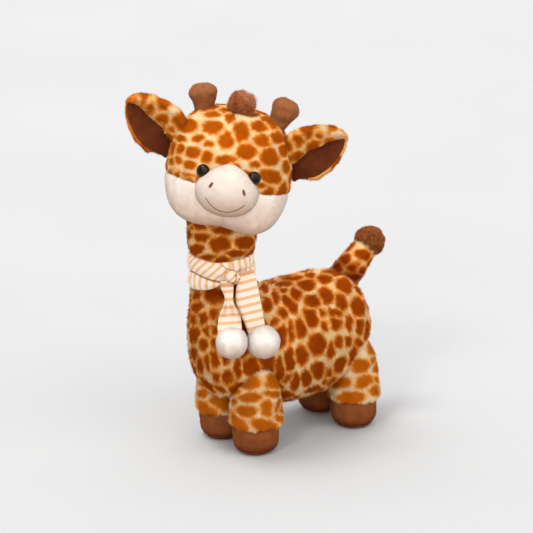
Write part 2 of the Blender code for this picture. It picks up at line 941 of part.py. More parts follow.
def scarf_end(hand, base, torso_form, knot_room, shape, knit, cream):
    """A strap that hangs from the scarf and swings away from the chest, and its pompom."""
    out, across = toward(strap_swing_angle), toward(strap_swing_angle + 90)
    neck_line = Vector((0, -neck_forward, 0))
    top_across, top_rise, pompom_across, pompom_drop, width_shares = shape
    inner_edge = max(top_across - strap_width * width_shares[0] / 2, 0)
    outer = math.sqrt((neck_seam_radius + gap + scarf_thickness) ** 2 - inner_edge**2)
    top_out = outer + strap_thickness / 2 + gap
    hinge_place = neck_line + across * top_across + out * top_out
    hinge_place.z = neck_seam_height + top_rise
    start = neck_line + across * pompom_across + out * torso_length
    start.z = neck_seam_height - pompom_drop
    pompom_place = rest_against(torso_form, start, -out, pompom_radius)
    hinge = guide("scarf_hinge_" + hand, hinge_place, parent=base)
    half = Vector((pompom_radius, pompom_radius, pompom_radius))
    name = "pompom_" + hand
    pompom = piece(name, ball(name, half, ball_segments, ball_rounds), hinge, cream)
    pompom.location = pompom_place - hinge_place
    room = cutter("pompom_room_" + hand, ball(name, half, ball_segments, ball_rounds), hinge)
    room.location = pompom.location
    fall = pompom.location.normalized()
    front = across.cross(fall).normalized()
    rings = []
    for place, width, thickness in zip(strap_place_shares, width_shares, strap_thickness_shares):
        half_width = across * width * strap_width / 2
        half_thickness = front * thickness * strap_thickness / 2
        middle = pompom.location * place
        rings.append(oval(middle, half_width, half_thickness, cage_corners, strap_squareness))
    name = "scarf_end_" + hand
    strap = smooth(piece(name, loft(name, rings), hinge, knit), coarse_levels)
    cut(strap, grown(room, gap))
    cut(strap, knot_room)


def scarf_ends(base, torso_form, knot_room, knit, cream):
    left = (strap_left_across, strap_left_rise, pompom_left_across, pompom_left_drop)
    right = (strap_right_across, strap_right_rise, pompom_right_across, pompom_right_drop)
    shapes = (
        ("left", (*left, strap_left_width_shares)),
        ("right", (*right, strap_right_width_shares)),
    )
    for hand, shape in shapes:
        scarf_end(hand, base, torso_form, knot_room, shape, knit, cream)


def build_giraffe():
    clear_scene()
    plush = fabric("patched_plush", (0.60, 0.22, 0.045))
    minky = fabric("brown_minky", (0.22, 0.075, 0.035))
    fur = fabric("brown_fur", (0.20, 0.065, 0.035))
    cream = fabric("cream_minky", (0.86, 0.78, 0.70))
    knit = fabric("striped_knit", (0.88, 0.76, 0.62))
    wadding = fabric("wadding", (0.90, 0.90, 0.88))
    thread = fabric("brown_thread", (0.16, 0.05, 0.03), 0.7)
    bead_plastic = fabric("eye_plastic", (0.03, 0.015, 0.01), 0.12)
    washer_plastic = fabric("washer_plastic", (0.85, 0.85, 0.82), 0.45)
    base = guide("stance", (stance_x, stance_y, 0))
    torso_form = torso(base, plush, wadding)
    legs(base, torso_form, plush, minky)
    tail(base, torso_form, plush, minky)
    neck(base, plush)
    socket = neck_socket(base)
    frame = head_frame(base)
    form = head_form(frame)
    rooms = eyes(form, frame, bead_plastic, washer_plastic)
    head_skins(frame, socket, rooms["stem"], plush, cream)
    head_filling(frame, socket, rooms["washer"], wadding)
    muzzle_seat = muzzle(frame, form, rooms["bead"], cream)
    nostrils(muzzle_seat, thread)
    smile(muzzle_seat, thread)
    horns(frame, form, minky)
    forelock(frame, form, fur)
    ears(frame, form, plush, minky)
    wrap = scarf_wrap(base, torso_form, knit)
    knot_room = scarf_knot(base, wrap, knit)
    scarf_ends(base, torso_form, knot_room, knit, cream)


build_giraffe()
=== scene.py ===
"""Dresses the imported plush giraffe: its pile and patches, minky, scarf, eyes, floor and light.

Metres, +Z up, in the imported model's frame. The toy's body faces -Y and its own left is +X.
A piece is built as arrays of points and faces, and its pile as short spikes rooted on it.
"""

import math

import bmesh
import bpy
import numpy as np
from mathutils import Euler, Matrix, Vector
from mathutils.bvhtree import BVHTree


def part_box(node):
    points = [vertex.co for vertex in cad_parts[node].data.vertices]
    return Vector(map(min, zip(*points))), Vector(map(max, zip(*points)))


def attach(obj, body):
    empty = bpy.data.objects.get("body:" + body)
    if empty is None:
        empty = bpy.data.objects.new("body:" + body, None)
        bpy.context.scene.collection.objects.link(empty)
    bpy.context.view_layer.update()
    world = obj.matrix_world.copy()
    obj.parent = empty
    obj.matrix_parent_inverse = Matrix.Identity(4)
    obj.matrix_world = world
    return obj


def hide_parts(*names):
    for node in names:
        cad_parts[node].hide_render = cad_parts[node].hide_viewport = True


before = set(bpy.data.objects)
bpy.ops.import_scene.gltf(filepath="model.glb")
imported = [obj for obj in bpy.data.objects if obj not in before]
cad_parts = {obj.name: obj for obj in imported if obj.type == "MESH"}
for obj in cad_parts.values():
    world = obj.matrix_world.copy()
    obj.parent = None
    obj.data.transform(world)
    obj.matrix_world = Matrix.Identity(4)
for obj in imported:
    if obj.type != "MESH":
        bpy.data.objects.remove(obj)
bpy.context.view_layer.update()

MM = 0.001

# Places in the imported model: the middle of the stance, the neck's axis, the axis of the nod, the
# head's own frame and the tail
STANCE = Vector((-0.0090, 0.0193, 0))
NECK = Vector((-0.0090, -0.0687, 0))
NOD = Vector((-0.0090, -0.0687, 0.267))
HEAD_TURN = Euler((math.radians(-8.5), math.radians(10.3), math.radians(50.5)))
HEAD = Matrix.Translation(NOD) @ HEAD_TURN.to_matrix().to_4x4()
HEAD = HEAD @ Matrix.Translation((0, -0.011, 0.047))
TAIL_ROOT = Vector((-0.009, 0.09531, 0.15769))
TAIL_TIP = Vector((-0.009, 0.1283, 0.189))
TAIL_RADIUS = 0.0152

# Camera: where the photograph was taken from, and its scale
AZIMUTH, ELEVATION = math.radians(52.7), math.radians(19.1)
RIGHT = Vector((math.cos(AZIMUTH), math.sin(AZIMUTH), 0))
CAM = Vector((math.sin(AZIMUTH) * math.cos(ELEVATION), -math.cos(AZIMUTH) * math.cos(ELEVATION),
              math.sin(ELEVATION)))
UP = CAM.cross(RIGHT)
PIXELS = 533
PIXELS_PER_MM = 0.95
PER_PIXEL = MM / PIXELS_PER_MM
DISTANCE = 5.0
TARGET = STANCE + RIGHT * -0.02316 + UP * 0.1729 + CAM * 0.060
EYE = TARGET + CAM * DISTANCE

PILE_SHARE = 1.0
DOWN = np.array([[0, 0, -1.0]])
NAP_WIDTH = 0.00022


def linear(code):
    """A hex colour as the linear values that shaders take."""
    values = [int(code[n:n + 2], 16) / 255 for n in (0, 2, 4)]
    return tuple(v / 12.92 if v < 0.04045 else ((v + 0.055) / 1.055) ** 2.4 for v in values)


# Shapes as arrays


class Skin:
    """Points, four-cornered faces and normals of a surface."""

    def __init__(self, points, faces):
        self.V = np.asarray(points, float)
        self.F = np.asarray(faces, int)
        self.update()

    def update(self):
        a, b, c, d = (self.V[self.F[:, n]] for n in range(4))
        across = np.cross(c - a, d - b)
        self.area = np.linalg.norm(across, axis=1) / 2
        total = np.zeros_like(self.V)
        for n in range(4):
            np.add.at(total, self.F[:, n], across)
        self.N = unit(total)
        return self

    def push(self, amount):
        """Moves each point along its normal."""
        self.V = self.V + self.N * np.broadcast_to(amount, len(self.V))[:, None]
        return self.update()

    def move(self, matrix):
        """Takes every point through a matrix."""
        self.V = moved(self.V, matrix)
        return self.update()

    def part(self, keep):
        """The faces whose corners are all kept."""
        faces = self.F[keep[self.F].all(axis=1)]
        used, index = np.unique(faces, return_inverse=True)
        made = Skin(self.V[used], index.reshape(-1, 4))
        made.N = self.N[used]
        return made

    def tree(self):
        return BVHTree.FromPolygons([tuple(v) for v in self.V], self.F.tolist())


def unit(vectors):
    """Vectors of length 1 in the same directions."""
    return vectors / np.maximum(np.linalg.norm(vectors, axis=-1, keepdims=True), 1e-12)


def swell(corners):
    """How far out a cage's corners stand from the smooth curve that they give."""
    return 1 / (2 / 3 + math.cos(2 * math.pi / corners) / 3)


def oval(centre, across, along, corners=8, squareness=2.0):
    """A ring of a cage whose smooth curve has the half-widths across and along."""
    ring = []
    for step in range(corners):
        turn = 2 * math.pi * step / corners
        side, up = math.cos(turn), math.sin(turn)
        side = math.copysign(abs(side) ** (2 / squareness), side)
        up = math.copysign(abs(up) ** (2 / squareness), up)
        ring.append(Vector(centre) + (Vector(across) * side + Vector(along) * up) * swell(corners))
    return ring


def circle(height, radius, corners, middle=Vector()):
    """A level ring of a cage at a height above a point."""
    return oval(middle + Vector((0, 0, height)), (radius, 0, 0), (0, radius, 0), corners)


def rounded(rings, levels, end=True):
    """The smooth surface of a cage through rings of as many corners each, closed at its start."""
    form = bmesh.new()
    lines = [[form.verts.new(corner) for corner in ring] for ring in rings]
    for first, second in zip(lines, lines[1:]):
        for step in range(len(first)):
            after = (step + 1) % len(first)
            form.faces.new((first[step], first[after], second[after], second[step]))
    form.faces.new(lines[0])
    if end:
        form.faces.new(lines[-1])
    bmesh.ops.recalc_face_normals(form, faces=form.faces)
    mesh = bpy.data.meshes.new("cage")
    form.to_mesh(mesh)
    form.free()
    obj = bpy.data.objects.new("cage", mesh)
    bpy.context.scene.collection.objects.link(obj)
    modifier = obj.modifiers.new("smooth", "SUBSURF")
    modifier.levels = modifier.render_levels = levels
    smooth = bpy.data.meshes.new_from_object(obj.evaluated_get(bpy.context.evaluated_depsgraph_get()))
    points = np.zeros(len(smooth.vertices) * 3)
    smooth.vertices.foreach_get("co", points)
    faces = np.zeros(len(smooth.loops), int)
    smooth.loops.foreach_get("vertex_index", faces)
    bpy.data.objects.remove(obj)
    bpy.data.meshes.remove(mesh)
    bpy.data.meshes.remove(smooth)
    return Skin(points.reshape(-1, 3), faces.reshape(-1, 4))


def lathe(points, steps, place=Matrix.Identity(4)):
    """A surface turned round Z through (radius, height) points, from its top to its bottom."""
    rings = []
    for radius, height in points:
        turns = [2 * math.pi * n / steps for n in range(steps)]
        rings.append([place @ Vector((radius * math.cos(t), radius * math.sin(t), height)) for t in turns])
    corners = [tuple(c) for ring in rings for c in ring]
    faces = []
    for a in range(len(points) - 1):
        for s in range(steps):
            t = (s + 1) % steps
            faces.append((a * steps + s, (a + 1) * steps + s, (a + 1) * steps + t, a * steps + t))
    return Skin(corners, faces)


def ball(middle, half, steps=48, place=Matrix.Identity(4)):
    """A round body with half-sizes half."""
    turns = [math.pi * n / (steps // 2) for n in range(steps // 2 + 1)]
    profile = [(max(math.sin(t), 1e-4), math.cos(t)) for t in turns]
    made = lathe(profile, steps)
    made.V = made.V * np.array(half) + np.array(middle)
    return made.move(place)


def moved(points, matrix):
    """Points through a matrix."""
    m = np.array(matrix)
    return np.asarray(points) @ m[:3, :3].T + m[:3, 3]


def waves(points, scale, seed):
    """Smooth random heights from about -1 to 1, as wide as scale."""
    random = np.random.default_rng(seed)
    total = np.zeros(len(points))
    for _ in range(14):
        direction = unit(random.normal(size=3))
        pitch = 2 * math.pi / scale * random.uniform(0.55, 1.5)
        total += np.sin(points @ direction * pitch + random.uniform(0, 2 * math.pi))
    return total / 3.7


def near_path(points, path):
    """How far each point is from a line through the points of path."""
    best = np.full(len(points), 9.0)
    for a, b in zip(path[:-1], path[1:]):
        a, b = np.array(a), np.array(b)
        along = np.clip((points - a) @ (b - a) / ((b - a) @ (b - a)), 0, 1)
        best = np.minimum(best, np.linalg.norm(points - a - along[:, None] * (b - a), axis=1))
    return best


def groove(skin, path, width, depth):
    """Presses a sewn line into a surface."""
    skin.push(-depth * np.exp(-(near_path(skin.V, path) / width) ** 2))
    return skin


def grid_faces(rows, columns):
    """The faces between the points of a grid, and the points' numbers by row and column."""
    index = np.arange((rows + 1) * (columns + 1)).reshape(rows + 1, columns + 1)
    faces = np.stack((index[:-1, :-1], index[:-1, 1:], index[1:, 1:], index[1:, :-1]), -1)
    return faces.reshape(-1, 4), index


def bell(distance, width):
    """1 at no distance, falling off smoothly within about the width."""
    return np.exp(-(distance / width) ** 2)


def smoothstep(low, high, values):
    """0 below low, 1 above high and smooth between them."""
    t = np.clip((values - low) / (high - low), 0, 1)
    return t * t * (3 - 2 * t)


# Patches


def on_photo(tree, u, v):
    """Where the line through a pixel of the photograph meets a surface, and the normal there."""
    aim = TARGET + RIGHT * (u - PIXELS / 2) * PER_PIXEL + UP * (PIXELS / 2 - v) * PER_PIXEL
    place, normal, _, _ = tree.ray_cast(EYE, (aim - EYE).normalized())
    return place, normal


class Print:
    """Ovals that stand apart by the width of the net between them."""

    NET = 0.0013

    def __init__(self):
        self.C, self.A, self.R = [], [], []

    def add(self, centre, first, second, normal, grow=1.0):
        first, second = np.array(first) * grow, np.array(second) * grow
        radius = (np.linalg.norm(first) + np.linalg.norm(second)) / 2
        self.C.append(np.array(centre))
        self.R.append(radius)
        columns = np.column_stack((first, second, np.array(normal) * radius * 1.5))
        self.A.append(np.linalg.inv(columns))

    def seen(self, tree, ovals, grow=1.13):
        """Adds ovals (u, v, width, height, lean) that are measured on the photograph."""
        for u, v, width, height, *lean in ovals:
            place, normal = on_photo(tree, u, v)
            if place is None:
                continue
            turn = math.radians(lean[0] if lean else 0)
            axes = []
            for size, angle in ((width, turn), (height, turn + math.pi / 2)):
                flat = (RIGHT * math.cos(angle) - UP * math.sin(angle)) * size / 2 * PER_PIXEL
                axes.append(flat - CAM * flat.dot(normal) / max(CAM.dot(normal), 0.4))
            self.add(place, axes[0], axes[1], normal, grow)

    def fill(self, skin, half_along, half_across, along, seed, count=6000, near=1.72, grow=1.2):
        """Adds ovals of about that size wherever there is room, longer along the direction."""
        random = np.random.default_rng(seed)
        faces = random.choice(len(skin.F), count, p=skin.area / skin.area.sum())
        points = skin.V[skin.F[faces, 0]]
        normals = skin.N[skin.F[faces, 0]]
        for point, normal in zip(points, normals):
            if self.C:
                gone = np.einsum("kij,kj->ki", np.array(self.A), point - np.array(self.C))
                if np.linalg.norm(gone, axis=1).min() < near:
                    continue
            axis = np.array(along(point, normal) if callable(along) else along, float)
            axis = axis + random.normal(size=3) * 0.25
            axis = unit(axis - normal * (axis @ normal))
            side = np.cross(normal, axis)
            size = random.uniform(0.78, 1.15)
            self.add(point, axis * half_along * size, side * half_across * size * random.uniform(0.9, 1.15),
                     normal, grow)
        return self

    def inside(self, points):
        """How far each point is inside a patch, in metres, or below zero outside it."""
        C, A, R = np.array(self.C), np.array(self.A), np.array(self.R)
        result = np.zeros(len(points))
        wobble = waves(points, 0.007, 5) * 0.0006 + waves(points, 0.003, 6) * 0.0003
        for low in range(0, len(points), 8000):
            away = points[low:low + 8000, None, :] - C[None]
            size = np.linalg.norm(np.einsum("kij,nkj->nki", A, away), axis=2)
            depth = np.partition((size - 1) * R, 1, axis=1)[:, :2]
            between = (depth[:, 1] - depth[:, 0]) / 2 - self.NET
            result[low:low + 8000] = np.minimum(-depth[:, 0], between)
        return result + wobble


def marks(values):
    """Depths in a patch as shader values: half at its edge and 1 at 3 mm inside."""
    return np.clip(0.5 + values / 0.006, 0, 1)


# Objects


def mesh_object(name, points, faces, material, layers=None, normals=None, uv=None):
    """An object from arrays: faces is a list of arrays of equal corner counts."""
    mesh = bpy.data.meshes.new(name)
    faces = [f for f in faces if len(f)]
    mesh.vertices.add(len(points))
    mesh.vertices.foreach_set("co", np.asarray(points, np.float32).ravel())
    index = np.concatenate([f.ravel() for f in faces]).astype(np.int32)
    sizes = np.concatenate([np.full(len(f), f.shape[1]) for f in faces])
    mesh.loops.add(len(index))
    mesh.loops.foreach_set("vertex_index", index)
    mesh.polygons.add(len(sizes))
    starts = np.concatenate(([0], np.cumsum(sizes)[:-1])).astype(np.int32)
    mesh.polygons.foreach_set("loop_start", starts)
    mesh.update(calc_edges=True)
    mesh.shade_smooth()
    for key, values in (layers or {}).items():
        layer = mesh.attributes.new(key, "FLOAT", "POINT")
        layer.data.foreach_set("value", np.asarray(values, np.float32))
    if uv is not None:
        layer = mesh.uv_layers.new(name="cloth")
        layer.data.foreach_set("uv", np.asarray(uv, np.float32)[index].ravel())
    if normals is not None:
        mesh.normals_split_custom_set_from_vertices(normals.tolist())
    mesh.materials.append(material)
    obj = bpy.data.objects.new(name, mesh)
    bpy.context.scene.collection.objects.link(obj)
    return obj


def dress(obj, body, replaced=()):
    """Seats a piece on its body and hides the CAD parts that it replaces."""
    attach(obj, body)
    if replaced:
        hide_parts(*replaced)
    return obj


def skin_object(name, skin, material, layers=None, uv=None):
    return mesh_object(name, skin.V, [skin.F], material, layers, uv=uv)


def roots(skin, count, seed, keep=None, painted_shade=None):
    """Places spread evenly over a surface, with their normals and painted shade."""
    random = np.random.default_rng(seed)
    weight = skin.area * (1 if keep is None else keep[skin.F].mean(axis=1))
    total = np.cumsum(weight)
    wanted = (np.arange(count) + random.uniform(size=count)) / count * total[-1]
    face = np.minimum(np.searchsorted(total, wanted), len(skin.F) - 1)
    s, t = random.uniform(size=(2, count, 1))
    corners = skin.F[face]

    def at(values):
        a, b, c, d = (values[corners[:, n]] for n in range(4))
        return (a * (1 - s) + b * s) * (1 - t) + (d * (1 - s) + c * s) * t

    painted_shades = np.zeros(count) if painted_shade is None else at(painted_shade[:, None])[:, 0]
    return at(skin.V), unit(at(skin.N)), painted_shades


def pile(name, skin, count, length, lean, comb, material, seed, mark=None, keep=None,
         width=0.00032, sway=0.5, own_normals=False, painted_shade=None):
    """Spikes of three sides rooted on a surface and combed along comb, one direction or one for
    each. They take the surface's shading, or their own where they hang over its rim."""
    count = int(count * PILE_SHARE)
    random = np.random.default_rng(seed)
    place, normal, painted_shades = roots(skin, count, seed + 1, keep, painted_shade)
    flow = comb - normal * np.sum(comb * normal, axis=1, keepdims=True)
    flow = unit(flow + 1e-9)
    side = np.cross(normal, flow)
    bend = (waves(place, 0.016, seed + 2) * sway + waves(place, 0.005, seed + 3) * sway * 0.6
            + random.normal(size=count) * 0.28)
    flow = flow * np.cos(bend)[:, None] + side * np.sin(bend)[:, None]
    tilt = lean + waves(place, 0.007, seed + 4) * 0.16 + random.normal(size=count) * 0.14
    tilt = np.clip(tilt, lean * 0.6, 1.4)[:, None]
    way = unit(normal * np.cos(tilt) + flow * np.sin(tilt))
    size = length * random.uniform(0.62, 1.15, count) * (1 + 0.16 * waves(place, 0.010, seed + 5))
    tip = place + way * size[:, None]
    first = unit(np.cross(way, unit(random.normal(size=(count, 3)))))
    second = np.cross(way, first)
    base = place - normal * 0.0003
    points = np.empty((count, 4, 3))
    for n in range(3):
        turn = 2 * math.pi * n / 3
        points[:, n] = base + (first * math.cos(turn) + second * math.sin(turn)) * width
    points[:, 3] = tip
    start = (np.arange(count) * 4)[:, None]
    faces = np.concatenate([start + np.array(c) for c in ((0, 1, 3), (1, 2, 3), (2, 0, 3))])
    normals = None if own_normals else np.repeat(unit(normal + way * 0.35), 4, axis=0)
    layers = {
        "tip": np.tile([0.0, 0.0, 0.0, 1.0], count),
        "tone": np.repeat(random.uniform(size=count), 4),
    }
    # Painted shade carried from the surface onto the strands rooted there
    if painted_shade is not None:
        layers["painted_shade"] = np.repeat(painted_shades, 4)
    if mark is not None:
        values = mark(place + flow * np.sin(tilt) * size[:, None]) + random.normal(size=count) * 0.0003
        layers["mark"] = np.repeat(marks(values), 4)
    return mesh_object(name, points.reshape(-1, 3), [faces], material, layers, normals)


# Materials


class Paint:
    """A material, with the nodes that its colour is made of."""

    def __init__(self, name):
        self.material = bpy.data.materials.new(name)
        self.material.use_nodes = True
        self.nodes = self.material.node_tree.nodes
        self.links = self.material.node_tree.links
        self.shader = self.nodes["Principled BSDF"]

    def node(self, kind, **settings):
        made = self.nodes.new("ShaderNode" + kind)
        for key, value in settings.items():
            setattr(made, key, value)
        return made

    def attribute(self, name):
        return self.node("Attribute", attribute_name=name).outputs["Fac"]

    def math(self, operation, value, *numbers):
        """A sum of one value and constant numbers."""
        made = self.node("Math", operation=operation)
        self.links.new(value, made.inputs[0])
        for place, number in enumerate(numbers, 1):
            made.inputs[place].default_value = number
        return made.outputs[0]

    def split(self, vector):
        """The three parts of a vector."""
        made = self.node("SeparateXYZ")
        self.links.new(vector, made.inputs[0])
        return made.outputs

    def ramp(self, value, stops):
        """A colour between stops of (position, hex colour or grey)."""
        made = self.node("ValToRGB")
        scale = made.color_ramp
        scale.elements[0].position = stops[0][0]
        scale.elements[-1].position = stops[-1][0]
        for position, _ in stops[1:-1]:
            scale.elements.new(position)
        for element, (_, colour) in zip(scale.elements, stops):
            values = linear(colour) if isinstance(colour, str) else (colour,) * 3
            element.color = (*values, 1)
        self.links.new(value, made.inputs[0])
        return made.outputs[0]

    def times(self, first, second):
        made = self.node("Mix", data_type="RGBA", blend_type="MULTIPLY")
        made.inputs[0].default_value = 1
        self.links.new(first, made.inputs[6])
        self.links.new(second, made.inputs[7])
        return made.outputs[2]

    def noise(self, scale, detail=2.0, roughness=0.5):
        made = self.node("TexNoise")
        for key, value in (("Scale", scale), ("Detail", detail), ("Roughness", roughness)):
            made.inputs[key].default_value = value
        self.links.new(self.node("TexCoord").outputs["Object"], made.inputs["Vector"])
        return made.outputs[0]

    def with_painted_shade(self, colour):
        """A colour darkened by painted shade in creases and recesses."""
        return self.times(colour, self.ramp(self.attribute("painted_shade"), PAINTED_SHADE_RAMP))

    def strands(self, colour, root, full, dull):
        """A colour as dark as root at a strand's root, painted shade deep in the pile, and as dull in some
        strands.
        """
        colour = self.times(colour, self.ramp(self.attribute("tip"), ((0.0, root), (full, 1.0))))
        return self.times(colour, self.ramp(self.attribute("tone"), ((0.0, dull), (1.0, 1.0))))

    def bump(self, height, strength, distance):
        made = self.node("Bump")
        made.inputs["Strength"].default_value = strength
        made.inputs["Distance"].default_value = distance
        self.links.new(height, made.inputs["Height"])
        self.links.new(made.outputs[0], self.shader.inputs["Normal"])

    def finish(self, colour, roughness, sheen=0.0, tint=(1, 1, 1), specular=0.25):
        """Gives the shader its colour and the way it takes light."""
        self.links.new(colour, self.shader.inputs["Base Color"])
        settings = (("Roughness", roughness), ("Sheen Weight", sheen), ("Sheen Roughness", 0.45),
                    ("Sheen Tint", (*tint, 1)), ("Specular IOR Level", specular))
        for key, value in settings:
            self.shader.inputs[key].default_value = value
        return self.material


# Painted shade that darkens a cloth in its creases and recesses, from open at 0 to deepest at 1
PAINTED_SHADE_RAMP = ((0.0, "FFFFFF"), (0.4, "D6BBA8"), (1.0, "74482F"))

# Painted shade: browner on faces that look down, as if from light bounced off brown parts, and plain on
# those that look up, by the height of the normal
PAINTED_BOUNCE_RAMP = ((0.0, "F2D8C4"), (0.30, "FCF1E8"), (0.55, "FFFFFF"))

# Tones of the print from the middle of the net at 0, over a patch's edge at a half, to its middle
NARROW_NET = (0.0, 0.24, 0.37, 0.50, 0.64, 0.9)
WIDE_NET = (0.0, 0.26, 0.40, 0.53, 0.67, 0.9)
NET_TONES = tuple(zip(NARROW_NET, ("FFD9A2", "FFC680", "FFB056", "EC8A28", "D26608", "AC4702")))
# Painted light: the same print made lighter for the head and ears, and lighter still for the legs, to stand
# in for more light on them
PAINTED_LIGHT_TONES = tuple(zip(WIDE_NET, ("FFDDAC", "FFCC8C", "FFB25E", "F29436", "DC7612", "BC5805")))
LEG_PAINTED_LIGHT_TONES = tuple(zip(WIDE_NET, ("FFE0B2", "FFD096", "FFC074", "FBA246", "EC8822", "D46C10")))


def plush_material(name, tones, strand=False):
    """Printed plush: the depth in a patch chooses the tone, and a strand is darker towards its root, as
    painted shade deep in the pile.
    """
    paint = Paint(name)
    colour = paint.ramp(paint.attribute("mark"), tones)
    colour = paint.times(colour, paint.ramp(paint.noise(75, 4, 0.6), ((0.35, 0.80), (0.65, 1.0))))
    colour = paint.with_painted_shade(colour)
    if strand:
        return paint.finish(paint.strands(colour, 0.80, 0.6, 0.90), 0.8, specular=0.04)
    paint.bump(paint.noise(900, 3), 0.5, 0.0006)
    return paint.finish(colour, 0.95, specular=0.05)


def minky_material(name, low, high, strand=False, clouds=90, sheen=0.3, painted_bounce_shade=False):
    """Smooth short pile of one colour, lighter and darker where it is brushed. With the painted bounce
    shade, it is browner on the faces that look down, as painted shade from the brown parts beside them."""
    paint = Paint(name)
    colour = paint.with_painted_shade(paint.ramp(paint.noise(clouds, 4, 0.6), ((0.3, low), (0.7, high))))
    if painted_bounce_shade:
        height = paint.split(paint.node("NewGeometry").outputs["Normal"])[2]
        colour = paint.times(colour, paint.ramp(paint.math("MULTIPLY_ADD", height, 0.5, 0.5), PAINTED_BOUNCE_RAMP))
    if strand:
        colour = paint.strands(colour, 0.66, 0.8, 0.82)
    else:
        paint.bump(paint.noise(1500, 3), 0.35, 0.0004)
    return paint.finish(colour, 0.85, sheen, linear(high), specular=0.12)


# Pale creams take the painted bounce shade
PALE = {"sheen": 0.05, "painted_bounce_shade": True}
plush = plush_material("plush_cloth", NET_TONES)
plush_pile = plush_material("plush_pile", NET_TONES, strand=True)
# Lighter copies of the printed plush: painted light for the head, ears and legs
painted_light_plush = plush_material("painted_light_plush_cloth", PAINTED_LIGHT_TONES)
painted_light_plush_pile = plush_material("painted_light_plush_pile", PAINTED_LIGHT_TONES, strand=True)
leg_painted_light_plush = plush_material("leg_painted_light_plush_cloth", LEG_PAINTED_LIGHT_TONES)
leg_plush_pile = plush_material("leg_plush_pile", LEG_PAINTED_LIGHT_TONES, strand=True)
brown = minky_material("brown_minky_cloth", "7A401E", "884A26")
brown_pile = minky_material("brown_minky_pile", "84481F", "9E5A2E", strand=True)
horn_brown = minky_material("horn_minky_cloth", "844A28", "9D5F38", clouds=160)
horn_pile = minky_material("horn_minky_pile", "8E5430", "B4784C", strand=True, clouds=300)
fur = minky_material("brown_fur_strands", "8E451F", "CE7A4A", strand=True, clouds=420)
pale_fur = minky_material("pale_fur_strands", "C9A08C", "EAD2C8", strand=True)
tuft_fur = minky_material("tuft_fur_strands", "64300F", "B66A34", strand=True, clouds=380)
dark = minky_material("brown_lining_cloth", "5A280E", "683016")
dark_pile = minky_material("brown_lining_pile", "622C10", "7C3E1C", strand=True)
cream = minky_material("cream_minky_cloth", "EAD9CC", "F0E1D6", **PALE)
cream_pile = minky_material("cream_minky_pile", "F0E1D6", "F6EAE1", strand=True, **PALE)
# Painted shade: the muzzle's copy of the cheeks' cream, made darker to offset the stronger light on it
muzzle_cream_shaded_copy = minky_material("muzzle_minky_shaded_copy_cloth", "CDBBAE", "D3C2B6", **PALE)
muzzle_pile_shaded_copy = minky_material("muzzle_minky_shaded_copy_pile", "D1BFB3", "D7C8BD", strand=True, **PALE)
pompom_cream = minky_material("pompom_minky_cloth", "F8E8DC", "FCEFE5", **PALE)
pompom_pile = minky_material("pompom_minky_pile", "FBEDE2", "FFF5EE", strand=True, **PALE)


# Body


def torso_skin(levels=5):
    shares = (
        ((0.98, 0.38), (0.98, -0.42), 0.36),
        ((0.89, 0.90), (0.89, -0.86), 0.80),
        ((0.45, 1.05), (0.40, -1.02), 1.02),
        ((-0.30, 0.95), (-0.50, -0.98), 0.98),
        ((-0.43, 1.12), (-0.985, -0.50), 0.80),
        ((-0.365, 1.34), (-1.03, 0.44), 0.65),
    )
    half = Vector((0.112, 0.212, 0.130)) / 2
    middle = STANCE + Vector((0, -0.013, 0.038 + half.z))
    rings = []
    for top, bottom, width in shares:
        top = middle + Vector((0, top[0] * half.y, top[1] * half.z))
        bottom = middle + Vector((0, bottom[0] * half.y, bottom[1] * half.z))
        rings.append(oval((top + bottom) / 2, (width * half.x, 0, 0), (top - bottom) / 2, 8, 2.3))
    rings.append(circle(0.200, 0.029, 8, NECK))
    return rounded(rings, levels, end=False)


FRONT_LEG = ((0.0, 0.6), (0.06, 1.0), (0.34, 0.25), (0.68, -1.1), (0.92, -3.3), (1.0, -6.2))
BACK_LEG = ((0.0, 0.6), (0.06, 1.0), (0.34, -0.15), (0.64, -2.1), (0.88, -5.0), (1.0, -7.8))


def leg_skin(place, shares, levels=4):
    rings = []
    for share, flare in shares:
        radius = 0.0262 + 0.0023 * flare
        rings.append(circle(0.0303 + 0.074 * share, radius, 10, place))
    return rounded(rings, levels)


TORSO_OVALS = (
    (311, 276, 12, 6), (326, 270, 10, 5), (307, 285, 18, 11), (326, 279, 14, 10), (345, 287, 16, 17),
    (296, 295, 13, 13), (313, 303, 16, 12), (327, 296, 13, 16, -25), (342, 303, 10, 18, -15),
    (359, 308, 14, 19, -10), (277, 297, 8, 14, -10), (265, 289, 8, 12), (290, 304, 10, 21, -38),
    (283, 315, 10, 12), (267, 305, 11, 16, -10), (311, 319, 14, 20, -22), (323, 315, 9, 8),
    (336, 314, 15, 8, 20), (301, 329, 12, 19, -5), (291, 333, 9, 22), (277, 324, 12, 12),
    (325, 327, 8, 12), (336, 325, 12, 12), (349, 325, 8, 15), (360, 328, 8, 17), (317, 346, 17, 21),
    (331, 352, 8, 18, 10), (339, 343, 10, 12), (348, 343, 9, 10), (358, 345, 7, 12),
    (302, 356, 12, 20), (290, 361, 10, 23), (267, 364, 14, 20, -10), (252, 368, 17, 17),
    (238, 369, 8, 21), (226, 361, 8, 9), (215, 361, 10, 17, -10), (208, 364, 6, 17, -10),
    (228, 379, 12, 15), (217, 379, 7, 12, -15), (280, 371, 9, 22), (295, 383, 8, 17, 10),
    (306, 379, 10, 15), (318, 371, 14, 17), (328, 374, 9, 10, 30), (339, 366, 10, 18, 30),
    (313, 389, 18, 6, -15), (201, 367, 7, 18, -10), (195, 355, 7, 18, -5), (204, 345, 8, 15),
    (194, 336, 9, 19), (197, 309, 12, 12), (194, 322, 8, 13), (203, 319, 10, 15), (207, 333, 8, 12),
    (215, 297, 19, 17), (197, 297, 8, 10), (215, 315, 10, 12), (215, 332, 8, 10), (215, 344, 8, 12),
    (273, 343, 8, 14),
)
